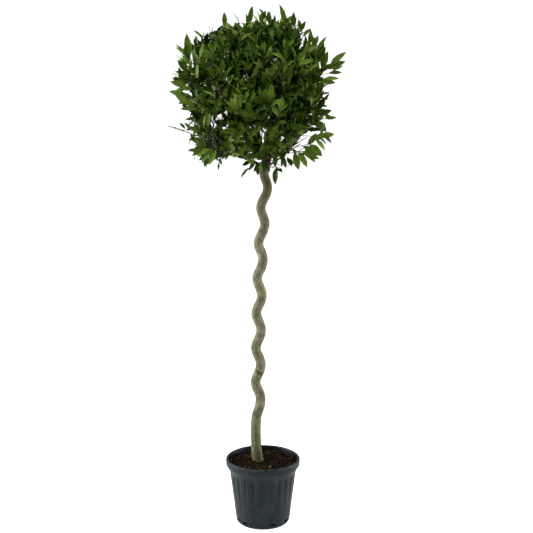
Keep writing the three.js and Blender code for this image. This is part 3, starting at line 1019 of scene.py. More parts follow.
@dataclass(frozen=True)
class NurseryPot:
    """The pot: a turned shell, pressed in along its flutes, with drain slots at its foot."""

    height: float = 252
    foot_radius: float = 103
    base_radius: float = 96
    foot_height: float = 13
    step_z: float = 21
    shoulder_radius: float = 127
    rim_radius: float = 142
    mouth_radius: float = 131.5
    rim_drop: float = 26
    chamfer_drop: float = 22
    collar_drop: float = 3
    collar_step: float = 0.9
    undercut: float = 2.6
    wall: float = 3.2
    floor: float = 3
    inner_step: float = 3.6
    hollow_radius: float = 86
    hollow_rise: float = 1.6
    flutes: int = 24
    columns_per_flute: int = 12
    flute_turn: float = 5.5
    flute_depth: float = 4.9
    flute_trace: float = 0.4
    flute_fade: float = 84
    flute_low: float = 36
    longest_step: float = 5
    slot_turns: tuple[float, ...] = (23, 61, 113, 158, 203, 248, 293, 319)
    slot_width: float = 23
    slot_height: float = 8
    slot_lift: float = 13.5
    slot_reach: float = 9

    def wall_radius(self, z: float) -> float:
        """Give the radius of the tapering wall at a height, without flutes."""
        share = (z - self.foot_height) / (self.shoulder_z() - self.foot_height)
        return mix(self.foot_radius, self.shoulder_radius, share)

    def shoulder_z(self) -> float:
        """Give the height at which the sloped shoulder starts."""
        return self.height - self.rim_drop - self.chamfer_drop

    def collar_z(self) -> float:
        """Give the height of the step under the smooth band."""
        return self.shoulder_z() - self.collar_drop

    def outline(self) -> list[Pair]:
        """Give the pot's section.

        Returns:
            Pairs of radius and height, from the axis below, out, up and over the rim to the axis inside.
        """
        wall, step, top, foot = self.wall_radius, self.step_z, self.height, self.foot_radius
        shoulder, collar, rim = self.shoulder_z(), self.collar_z(), self.height - self.rim_drop
        inner = self.wall + self.inner_step
        corners = [
            (0, self.hollow_rise, 0),
            (self.hollow_radius, self.hollow_rise, 0.6),
            (self.hollow_radius + 2, 0, 0.8),
            (self.base_radius, 0, 3.0),
            (foot - 1.0, 6.5, 3.5),
            (foot - 0.4, self.foot_height, 2.0),
            (wall(step) - 1.8, step, 0.5),
            (wall(step) + 0.5, step + 1.6, 0.5),
            (wall(step + 6), step + 6, 1.5),
            (wall(collar), collar, 0.7),
            (wall(collar) + self.collar_step, collar + 1.4, 0.6),
            (wall(shoulder) + self.collar_step, shoulder, 4.0),
            (self.rim_radius - 0.6 - self.undercut, rim + 0.6, 1.0),
            (self.rim_radius - 0.6, rim + 1.2, 1.0),
            (self.rim_radius, top - 3.5, 2.6),
            (self.rim_radius - 3.4, top, 2.2),
            (self.mouth_radius + 2.2, top, 1.6),
            (self.mouth_radius, top - 3.4, 2.0),
            (wall(226) - self.wall, 226, 2.0),
            (wall(202) - self.wall, 202, 0.5),
            (wall(200) - inner, 200, 0.5),
            (wall(self.floor) - inner, self.floor, 0),
            (0, self.floor, 0),
        ]
        made = []
        smooth = rounded(corners)
        for (r, z), (next_r, next_z) in zip(smooth, smooth[1:]):
            steps = max(1, ceil(abs(next_z - z) / self.longest_step)) if r > self.hollow_radius else 1
            made.extend((mix(r, next_r, i / steps), mix(z, next_z, i / steps)) for i in range(steps))
        return [*made, smooth[-1]]

    def press(self, z: float, angle: float) -> float:
        """Give how far a flute presses the wall in.

        Args:
            z: The height.
            angle: The angle round the axis.

        Returns:
            The depth, most under the band and a trace lower down.
        """
        top = self.collar_z() - 1.5
        ends = eased(z, self.flute_low, self.flute_low + 24) * (1 - eased(z, top - 6, top))
        lift = min(1.0, max(0.0, (z - self.flute_fade) / (top - self.flute_fade)))
        depth = mix(self.flute_trace, self.flute_depth, lift**0.8)
        groove = (0.5 - 0.5 * cos(self.flutes * (angle - radians(self.flute_turn)))) ** 4.4
        return depth * ends * groove

    def shell(self) -> Mesh:
        """Turn the section round, with the flutes pressed in.

        Returns:
            The closed shell.
        """
        columns = self.flutes * self.columns_per_flute
        outline = self.outline()
        rim = max(range(len(outline)), key=lambda i: outline[i][1])
        rings = []
        for i, (radius, z) in enumerate(outline[1:-1], 1):
            ring = []
            for k in range(columns):
                angle = TURN * k / columns
                reach = radius - (self.press(z, angle) if i < rim else 0.0)
                ring.append(Vector((reach * cos(angle), reach * sin(angle), z)))
            rings.append(ring)
        skin = Skin()
        skin.add_rings(rings, close_ends=False)
        last = len(skin.points) - columns
        skin.points.append(Vector((0, 0, outline[0][1])))
        skin.points.append(Vector((0, 0, outline[-1][1])))
        for k in range(columns):
            after = (k + 1) % columns
            skin.faces.append((after, k, len(skin.points) - 2))
            skin.faces.append((last + k, last + after, len(skin.points) - 1))
        return skin.mesh("nursery_pot")

    def slot_cutter(self) -> Mesh:
        """Make the rounded bars that cut the drain slots.

        Returns:
            The bars in one mesh.
        """
        skin = Skin()
        half_width, half_height, corner = self.slot_width / 2, self.slot_height / 2, 2.2
        face = []
        for quarter in range(4):
            x = (half_width - corner) * (1 if quarter in (0, 3) else -1)
            z = (half_height - corner) * (1 if quarter in (0, 1) else -1)
            for i in range(4):
                angle = TURN * (quarter / 4 + i / 12)
                face.append((x + corner * cos(angle), z + corner * sin(angle)))
        middle = self.slot_lift + half_height
        for slot_turn in self.slot_turns:
            turn = radians(slot_turn) - TURN / 4
            out = Vector((cos(turn), sin(turn), 0))
            across = Vector((-out.y, out.x, 0))
            base = out * self.wall_radius(middle) + UP * middle
            reaches = (-self.slot_reach, self.slot_reach)
            skin.add_rings([[base + out * reach + across * x + UP * z for x, z in face] for reach in reaches])
        return skin.mesh("slot_cutter")

    def build(self) -> None:
        """Make and dress the pot."""
        mesh = cut_away(self.shell(), self.slot_cutter())
        # The inner wall takes a darker copy of the plastic: painted shade inside the pot.
        darker_tone, paler_tone = (0.002, 0.003, 0.005), (0.006, 0.009, 0.012)
        pits = (620, 0.25, 0.5)
        inside = PatchyFinish("wet_plastic", darker_tone, paler_tone, (40, 0.4, 0.7), 0.5, 0.12, pits, (0.22, 0.5))
        mesh.materials.clear()
        mesh.materials.append(PlasticFinish().make())
        mesh.materials.append(inside.make())
        # Faces of the inner wall get the painted-shade plastic.
        for polygon in mesh.polygons:
            middle = polygon.center / MM
            inner = middle.to_2d().length < self.mouth_radius + 0.3 and middle.z > self.floor - 0.2
            facing_in = polygon.normal.to_2d().dot(middle.to_2d()) < 0
            polygon.material_index = 1 if inner and facing_in and middle.z < self.height - 3 else 0
        mesh.polygons.foreach_set("use_smooth", [True] * len(mesh.polygons))
        mesh.set_sharp_from_angle(angle=radians(38))
        show("nursery_pot", mesh, ["pot"])


# The compost


@dataclass(frozen=True)
class ChipKind:
    """One kind of bark chip: its colours, its number to a square metre, and its sizes."""

    name: str
    base: Colour
    broken: Colour
    density: float
    smallest: float
    largest: float
    seed: int

    def finish(self) -> PatchyFinish:
        """Give the finish of composted bark, paler on its broken sides."""
        patches, grain = (120, 0.4, 0.62), (500, 0.4, 1.0)
        return PatchyFinish(self.name, self.base, self.broken, patches, 0.85, 0.06, grain, (0.6, 0.8))


@dataclass(frozen=True)
class MulchBed:
    """The compost: an uneven bed, filled to below the rim, under loose chips of bark."""

    pot: NurseryPot
    foot: Vector
    top: float = 237
    bottom: float = 203
    rings: int = 46
    columns: int = 150
    swell: float = 3.2
    stem_room: float = 20
    rim_room: float = 5
    shapes: int = 9
    tumble: float = 0.8
    kinds: tuple[ChipKind, ...] = (
        ChipKind("chips_dark", (0.006, 0.004, 0.0025), (0.013, 0.0075, 0.004), 16000, 0.6, 1.5, 11),
        ChipKind("chips_brown", (0.020, 0.010, 0.0033), (0.053, 0.027, 0.0082), 7000, 0.5, 1.35, 12),
        ChipKind("chips_tan", (0.088, 0.046, 0.013), (0.225, 0.130, 0.042), 2500, 0.4, 1.2, 13),
        ChipKind("chips_pale", (0.250, 0.180, 0.092), (0.370, 0.295, 0.170), 560, 0.25, 0.6, 14),
    )

    def edge(self) -> float:
        """Give the radius of the bed at its top."""
        return self.pot.wall_radius(self.top) - self.pot.wall - GAP

    def level(self, x: float, y: float) -> float:
        """Give the height of the bed.

        Args:
            x: Where, along X.
            y: Where, along Y.

        Returns:
            The height.
        """
        place = Vector((x, y, 0))
        swells = self.swell * rough(place, 34, 3) + 1.3 * rough(place, 9, 5) + 0.7 * rough(place, 3.5, 8)
        mound = 3.0 * (1 - eased((place - self.foot.to_2d().to_3d()).length, 22, 48))
        sunk = 3.0 * eased(place.length, self.edge() - 16, self.edge())
        return self.top - 1.2 + swells + mound - sunk

    def bed(self) -> Mesh:
        """Make the bed with its open faces marked for the chips.

        Returns:
            A closed plug.
        """
        skin = Skin()
        rings = []
        low = self.pot.wall_radius(self.bottom) - self.pot.wall - GAP
        circle = [(cos(TURN * k / self.columns), sin(TURN * k / self.columns)) for k in range(self.columns)]
        rings.append([Vector((low * x, low * y, self.bottom)) for x, y in circle])
        for i in range(self.rings):
            radius = self.edge() * (1 - i / self.rings)
            spots = [(radius * x, radius * y) for x, y in circle]
            rings.append([Vector((x, y, self.level(x, y))) for x, y in spots])
        skin.add_rings(rings)
        mesh = skin.mesh("compost_bed")
        open_faces = []
        for polygon in mesh.polygons:
            middle = polygon.center / MM
            clear = (middle.to_2d() - self.foot.to_2d()).length > self.stem_room
            inside = middle.to_2d().length < self.edge() - self.rim_room
            open_faces.append(polygon.normal.z > 0.3 and clear and inside)
        carry(mesh, "open", "BOOLEAN", "FACE", open_faces)
        return mesh

    @staticmethod
    def chip(seed: int) -> Mesh:
        """Make a broken flake or splinter of bark.

        Args:
            seed: Its number.

        Returns:
            The chip.
        """
        random = seeded(7000 + seed)
        splinter = seed % 3 == 0
        length = mix(17, 25, random()) if splinter else mix(9, 16, random())
        width = mix(2.2, 3.6, random()) if splinter else mix(5, 9, random())
        thickness = mix(1.4, 2.4, random())
        bend = mix(-2.5, 2.5, random())
        rings = []
        for i in range(5):
            share = i / 4
            ends = 1 - 0.45 * abs(2 * share - 1) ** 2
            ring = []
            for k in range(5):
                angle = TURN * k / 5 + 0.5
                reach = ends * mix(0.75, 1.15, random())
                across = 0.5 * width * reach * cos(angle)
                up = 0.5 * thickness * reach * sin(angle) + bend * sin(pi * share) + 0.6
                ring.append(Vector((length * (share - 0.5) + mix(-0.8, 0.8, random()), across, up)))
            rings.append(ring)
        skin = Skin()
        skin.add_rings(rings)
        return mesh_from(f"chip_{seed}", skin.points, skin.faces, smooth=False)

    def build(self) -> None:
        """Make and dress the bed and its chips."""
        bed = self.bed()
        shapes = shape_collection("chip", [self.chip(i) for i in range(self.shapes)])
        tree = scattered_chips()
        for kind in self.kinds:
            inputs = {"Shapes": shapes, "Tumble": self.tumble, "Seed": kind.seed}
            inputs.update({"Density": kind.density, "Smallest": kind.smallest, "Largest": kind.largest})
            inputs["Material"] = kind.finish().make()
            show(kind.name, run_tree(tree, bed.copy(), inputs, kind.name), ["compost"])
        drop_collection(shapes)
        bed.attributes.remove(bed.attributes["open"])
        darker_tone, paler_tone = (0.005, 0.003, 0.002), (0.018, 0.010, 0.005)
        pits = (260, 0.6, 1.0)
        damp = PatchyFinish("damp_compost", darker_tone, paler_tone, (160, 0.42, 0.68), 0.9, 0.06, pits, (2.0, 0.9))
        bed.materials.append(damp.make())
        show("compost_bed", bed, ["compost"])


# The stem


@dataclass(frozen=True)
class Scar:
    """An old cut or knot in the bark, placed by its height and its turn to the viewer's right.

    It has a length, a width, a tilt in degrees, a depth, the height of its lip and how dark it is stained.
    """

    height: float
    turn: float
    length: float
    width: float
    tilt: float
    depth: float
    lip: float
    stain: float


@dataclass(frozen=True)
class CorkscrewStem:
    """The bare stem: straight at its foot, then a corkscrew that leans a little to +X."""

    foot_x: float = -18.4
    foot_z: float = 237.3
    top_z: float = 1402
    buried: float = 7
    foot_radius: float = 20
    crown_radius: float = 16.4
    flare: float = 2.4
    flare_height: float = 24
    fork_z: float = 1362
    fork_radius: float = 18.6
    fork_height: float = 26
    neck_rise: float = 4
    tip_radius: float = 8
    lean_rise: float = 38
    lean_power: float = 3.4
    coil_radius: float = 9.5
    coil_pitch: float = 133
    coil_start: float = 417.5
    coil_ease: float = 30
    coil_fade: float = 40
    rings: int = 640
    sides: int = 84
    scars: tuple[Scar, ...] = (
        Scar(594, -6, 33, 13, -38, 3.2, 1.9, 0.95),
        Scar(737, 42, 9, 7, 20, 1.4, 0.8, 0.85),
        Scar(732, -4, 8, 5, 10, 0.8, 0.5, 0.6),
        Scar(352, 0, 34, 4, 4, 0.5, 0.7, 0.35),
        Scar(468, 150, 15, 11, 0, 1.6, 1.2, 0.8),
        Scar(890, -35, 7, 6, 0, 0.7, 0.6, 0.6),
        Scar(985, 120, 20, 9, 25, 2.0, 1.3, 0.85),
        Scar(1088, 35, 8, 6, -15, 0.8, 0.7, 0.7),
        Scar(1215, -20, 10, 7, -25, 1.0, 0.9, 0.75),
        Scar(1250, 200, 18, 10, -30, 1.8, 1.2, 0.85),
    )
    ring_height: float = 437
    ring_turn: float = 8
    ring_radius: float = 13
    ring_squash: float = 0.85
    patch_height: float = 262
    patch_turn: float = 28
    grain_stretch: float = 0.42
    fissures: float = 5

    def middle(self, z: float) -> Vector:
        """Give the middle of the stem.

        Args:
            z: The height.

        Returns:
            The point on it.
        """
        wound = self.coil_ease * log(1 + exp((z - self.coil_start) / self.coil_ease))
        angle = pi + TURN * wound / self.coil_pitch
        radius = self.coil_radius * (1 - exp(-max(0.0, z - self.foot_z) / self.coil_fade))
        climbed = max(0.0, (z - self.foot_z) / (self.top_z - self.foot_z))
        lean = self.foot_x + self.lean_rise * climbed**self.lean_power
        return Vector((lean + radius * cos(angle), radius * sin(angle), z))

    def radius(self, share: float, middle: Vector) -> float:
        """Give the radius: a taper, a flare at the foot, a swelling at the fork and a neck above.

        Args:
            share: The share of the length.
            middle: The middle there.

        Returns:
            The radius.
        """
        taper = mix(self.foot_radius, self.crown_radius, share)
        flare = self.flare * exp(-max(0.0, middle.z - self.foot_z) / self.flare_height)
        fork = exp(-(((middle.z - self.fork_z) / self.fork_height) ** 2))
        body = taper + flare + (self.fork_radius - self.crown_radius) * fork
        return mix(body, self.tip_radius, eased(middle.z, self.fork_z + self.neck_rise, self.top_z))

    def seen_from(self, point: Vector, height: float, turn: float) -> Pair:
        """Tell where a point lies from a place on the bark.

        Args:
            point: The point.
            height: The place's height.
            turn: The place's turn to the right.

        Returns:
            How far it is to the right and above.
        """
        out = point - self.middle(point.z)
        angle = atan2(out.x, -out.y) - radians(turn)
        angle = (angle + pi) % TURN - pi
        return angle * out.to_2d().length, point.z - height

    def scar_reach(self, point: Vector, scar: Scar) -> Pair:
        """Tell where a point lies from a scar's middle.

        Args:
            point: The point.
            scar: The scar.

        Returns:
            How far, as a share of the scar's size, and how far across it.
        """
        right, above = self.seen_from(point, scar.height, scar.turn)
        tilt = radians(scar.tilt)
        along = right * cos(tilt) + above * sin(tilt)
        across = above * cos(tilt) - right * sin(tilt)
        return hypot(2 * along / scar.length, 2 * across / scar.width), across

    def ring_reach(self, point: Vector) -> float:
        """Give how far a point is from the lost branch, as a share of its ring's radius."""
        right, above = self.seen_from(point, self.ring_height, self.ring_turn)
        return hypot(right, self.ring_squash * above) / self.ring_radius

    def near_scars(self, point: Vector) -> list[Scar]:
        """Give the scars that a point may be part of."""
        return [scar for scar in self.scars if abs(point.z - scar.height) < scar.length + scar.width]

    def stretched(self, point: Vector) -> Vector:
        """Give the place where noise is read, so that it runs up the stem."""
        return Vector((point.x, point.y, point.z * self.grain_stretch))

    def fissure(self, point: Vector) -> float:
        """Give 1 in the middle of a fine fissure and 0 outside it."""
        return max(0.0, 1 - self.fissures * abs(rough(self.stretched(point), 4.2, 6)))

    def relief(self, point: Vector, outward: Vector) -> float:
        """Shape the bark: lumps, fine fissures, scars and the ring of a lost branch.

        Args:
            point: The point.
            outward: The unit vector outwards, not used.

        Returns:
            How far it stands out.
        """
        stretched = self.stretched(point)
        height = 0.75 * rough(point, 30, 2) + 0.42 * rough(stretched, 7, 4)
        height -= 0.34 * self.fissure(point)
        height += 0.16 * rough(stretched, 1.7, 9)
        for scar in self.near_scars(point):
            far, across = self.scar_reach(point, scar)
            lip = exp(-(((far - 1.18) / 0.26) ** 2)) * (1.0 if across > 0 else 0.35)
            height += scar.lip * lip - scar.depth * (1 - eased(far, 0.35, 1.05))
        if abs(point.z - self.ring_height) < 2 * self.ring_radius:
            far = self.ring_reach(point)
            height -= 0.7 * exp(-(((far - 1) / 0.14) ** 2)) - 0.5 * exp(-(((far - 0.62) / 0.3) ** 2))
        return height

    def stain(self, point: Vector) -> float:
        """Darken the bark in scars and in a patch at the foot, and paint shade into the fissures.

        Args:
            point: The point.

        Returns:
            How dark it is, from 0 to 1.
        """
        # Painted shade in the fissures.
        dark = 0.30 * self.fissure(point)
        for scar in self.near_scars(point):
            far, across = self.scar_reach(point, scar)
            shade = scar.stain * (1 - eased(far, 0.55, 1.12)) * (1 if across < 0.22 * scar.width else 0.4)
            dark = max(dark, shade * (0.8 + 0.4 * rough(point, 3, 12)))
        if abs(point.z - self.ring_height) < 2 * self.ring_radius:
            far = self.ring_reach(point)
            dark = max(dark, 0.55 * exp(-(((far - 1) / 0.16) ** 2)))
        right, above = self.seen_from(point, self.patch_height, self.patch_turn)
        patch = 1 - eased(hypot(right / 15, above / 30), 0.35, 1.1)
        soiled = 1 - eased(point.z + 5 * rough(point, 7, 15), self.foot_z, self.foot_z + 16)
        dark = max(dark, 0.7 * soiled * (0.7 + 0.9 * rough(point, 3.5, 16)))
        return min(1.0, max(dark, 0.75 * patch * (0.75 + 0.9 * rough(point, 6, 14))))

    def build(self, material: Material) -> None:
        """Make and dress the stem.

        Args:
            material: Its bark.
        """
        low, high = self.foot_z - self.buried, self.top_z
        line = Line(lambda t: self.middle(mix(low, high, t)), self.rings)
        skin = Skin()
        skin.add_rings(rings_along(line, self.radius, self.rings, self.sides, self.relief))
        skin.values["stain"] = [self.stain(point) for point in skin.points]
        mesh = skin.mesh("corkscrew_stem")
        mesh.materials.append(material)
        show("corkscrew_stem", mesh, ["trunk"])


# The leaves


@dataclass
class LeafSkin:
    """A leaf's points and faces, with the side that each face is part of."""

    points: list[Vector] = field(default_factory=list)
    faces: Faces = field(default_factory=list)
    marks: list[Side] = field(default_factory=list)

    def add_prism(self, rings: Rings, tip: Vector, sides: Sequence[Side], end: Sequence[int]) -> None:
        """Add a prism that runs out in a tip.

        Args:
            rings: Its rings of points, from its flat end.
            tip: The tip.
            sides: The side of the leaf for each face round it.
            end: The corners of the flat end, by their places in the ring.
        """
        first, wide = len(self.points), len(sides)
        for ring in rings:
            self.points.extend(ring)
        last = len(self.points) - wide
        for start in range(first, last + 1, wide):
            for k, side in enumerate(sides):
                a, b = start + k, start + (k + 1) % wide
                self.faces.append((a, b, last + wide) if start == last else (a, b, b + wide, a + wide))
                self.marks.append(side)
        self.points.append(tip)
        self.faces.append(tuple(first + k for k in end))
        self.marks.append(sides[-1])


@dataclass(frozen=True)
class LeafShape:
    """One bay leaf: a narrow blade, folded along its rib, with a wavy edge and a short stalk."""

    length: float = 78
    width: float = 26
    fold: float = 3.0
    droop: float = 7
    wave: float = 1.3
    waves: float = 2.5
    twist: float = 0.15
    thickness: float = 0.5
    rib_width: float = 0.75
    rib_rise: float = 0.3
    stations: tuple[Pair, ...] = (
        (0.07, 0.06), (0.20, 0.56), (0.38, 0.94), (0.58, 0.98), (0.77, 0.68), (0.91, 0.28)
    )

    def spot(self, share: float, across: float, half: float = 0.0, drop: float = 0.0) -> Vector:
        """Give a point of the blade.

        Args:
            share: How far along it is, from the stalk to the tip.
            across: How far across it is, from -1 to 1.
            half: Half the blade's width there.
            drop: How far it lies below the upper face.

        Returns:
            The point, with the leaf along +Y and facing +Z.
        """
        edge = abs(across) * 2 * half / self.width
        wave = self.wave * edge * sin(TURN * self.waves * share + (0 if across > 0 else 1.7))
        x = across * half
        z = self.fold * edge * abs(across) + wave - drop
        turn = self.twist * (share - 0.3)
        bow = self.droop * (0.6 * share - 1.6 * share * share)
        side = x * cos(turn) - z * sin(turn)
        return Vector((side, share * self.length, z * cos(turn) + x * sin(turn) + bow))

    def blade(self) -> Rings:
        """Lay out the blade.

        Returns:
            Its rings, each of five points above and one below.
        """
        rings = []
        for share, width in self.stations:
            half = width * self.width / 2
            above = [self.spot(share, across, half) for across in (-1.0, -0.5, 0.0, 0.5, 1.0)]
            rings.append([*above, self.spot(share, 0.0, drop=self.thickness)])
        return rings

    def rib(self) -> Rings:
        """Lay out the stalk and rib.

        Returns:
            Their rings, each flat above with a keel below.
        """
        rings = []
        for share in (0.0, *(share for share, _ in self.stations)):
            narrow, rise = self.rib_width * (1.3 - share), self.rib_rise * (1.3 - share)
            corners = ((-narrow, rise), (narrow, rise), (0.0, -self.thickness - 3 * rise))
            rings.append([self.spot(share, 0.0) + Vector((x, 0, z)) for x, z in corners])
        return rings

    def mesh(self, name: str) -> Mesh:
        """Make the leaf, with its faces below and on the rib marked.

        Args:
            name: The mesh's name.

        Returns:
            The leaf, crisp where its sides meet.
        """
        skin = LeafSkin()
        upper_and_under = [Side.UPPER] * 4 + [Side.UNDER] * 2
        skin.add_prism(self.blade(), self.spot(1.0, 0.0), upper_and_under, (4, 3, 2, 1, 0, 5))
        skin.add_prism(self.rib(), self.spot(0.98, 0.0), [Side.RIB] * 3, (2, 1, 0))
        mesh = mesh_from(name, skin.points, skin.faces)
        for side in (Side.UNDER, Side.RIB):
            carry(mesh, side.value, "BOOLEAN", "FACE", [mark is side for mark in skin.marks])
        sides: dict[tuple[int, int], set[Side]] = {}
        for polygon, mark in zip(mesh.polygons, skin.marks):
            for key in polygon.edge_keys:
                sides.setdefault(key, set()).add(mark)
        crisp = [len(sides[tuple(sorted(edge.vertices))]) > 1 for edge in mesh.edges]
        carry(mesh, "sharp_edge", "BOOLEAN", "EDGE", crisp)
        return mesh


LEAF_SHAPES = (
    LeafShape(),
    LeafShape(length=84, width=26, droop=12, fold=2.2, twist=0.35),
    LeafShape(length=72, width=27, droop=3, fold=4.2, wave=1.9, waves=3.1, twist=-0.2),
    LeafShape(length=88, width=24, droop=16, fold=3.4, wave=1.0, twist=-0.4),
    LeafShape(length=68, width=25, droop=-3, fold=2.6, wave=1.6, waves=2.1, twist=0.25),
    LeafShape(length=80, width=28, droop=9, fold=5.0, wave=2.2, waves=2.8, twist=0.0),
    LeafShape(length=76, width=22, droop=20, fold=3.0, wave=1.2, twist=0.5),
)


# The crown


@dataclass(frozen=True)
class Tier:
    """A level of the crown: how its boughs leave the trunk, and where their masses lie."""

    count: int
    turn: float
    spread: float
    rise: float
    stagger: float
    reach: float
    climb: float
    leave_z: float
    tilt: float
    girth: float


@dataclass(frozen=True)
class Stray:
    """A shoot by itself: its bearing, its climb, and how far it passes the surface."""

    bearing: float
    climb: float
    past: float


@dataclass(frozen=True)
class Whip:
    """A shoot that is seen by itself: its tip, where it points there, and how its leaves fan out.

    The fan holds the way each leaf points, from the tip back, in degrees from the viewer's right and upwards.
    A roll turns the leaves edge on, buds stand round the tip, and the run is how far the shoot goes straight.
    """

    tip: Triple
    heading: float
    fan: tuple[float, ...]
    size: float
    shade: Spray = MID
    roll: float = 0.0
    buds: int = 0
    run: float = 22


@dataclass(frozen=True)
class Trim:
    """A part of the clipped surface, seen round X and Z, that was cut back by so much."""

    x: float
    z: float
    radius: float
    cut: float


@dataclass(frozen=True)
class Clearing:
    """A gap through which sky shows, on the sight line through X and Z in the middle plane."""

    x: float
    z: float
    radius: float


@dataclass
class Mass:
    """One bough with the mass of foliage that it carries."""

    tier: Tier
    middle: Vector
    line: Line
    entry: float = 0.0


@dataclass
class Shoot:
    """Where a shoot ends, the number it grows from, and how far a stray passes the surface."""

    tip: Vector
    seed: int
    past: float = 0.0


@dataclass
class Wood:
    """Twigs of one kind, gathered as lines of points with their radii."""

    points: list[Vector] = field(default_factory=list)
    girths: list[float] = field(default_factory=list)
    edges: list[tuple[int, int]] = field(default_factory=list)

    def add(self, line: Line, girth: Pair, steps: int) -> None:
        """Add one twig.

        Args:
            line: Its middle.
            girth: Its radius at its root and at its tip.
            steps: How many straight steps stand for it.
        """
        first = len(self.points)
        for i in range(steps + 1):
            self.points.append(line.point(i / steps))
            self.girths.append(mix(*girth, i / steps) * MM)
        self.edges.extend((first + i, first + i + 1) for i in range(steps))

    def mesh(self, name: str) -> Mesh:
        """Make the edges that the twig skin is grown on.

        Args:
            name: The mesh's name.

        Returns:
            The mesh.
        """
        mesh = bpy.data.meshes.new(name)
        mesh.from_pydata([point * MM for point in self.points], self.edges, [])
        carry(mesh, "girth", "FLOAT", "POINT", self.girths)
        return mesh


@dataclass
class Growth:
    """What grows in the crown, gathered by kind."""

    twigs: Wood = field(default_factory=Wood)
    side_twigs: Wood = field(default_factory=Wood)
    buds: Placed = field(default_factory=Placed)
    leaves: dict[Spray, Placed] = field(default_factory=lambda: {spray: Placed() for spray in Spray})


@dataclass
class Sprig:
    """What a twig grows with: its shade's leaves, the buds, its numbers, and how far it may go out."""

    leaves: Placed
    buds: Placed
    random: Chance
    past: float


@dataclass(frozen=True)
class LeafRow:
    """How leaves stand along a twig: its bare share, their spacing, how many end it, and their size."""

    bare: float
    spacing: float
    rosette: int
    size: float


# Where single shoots, gaps and cuts were seen in the crown


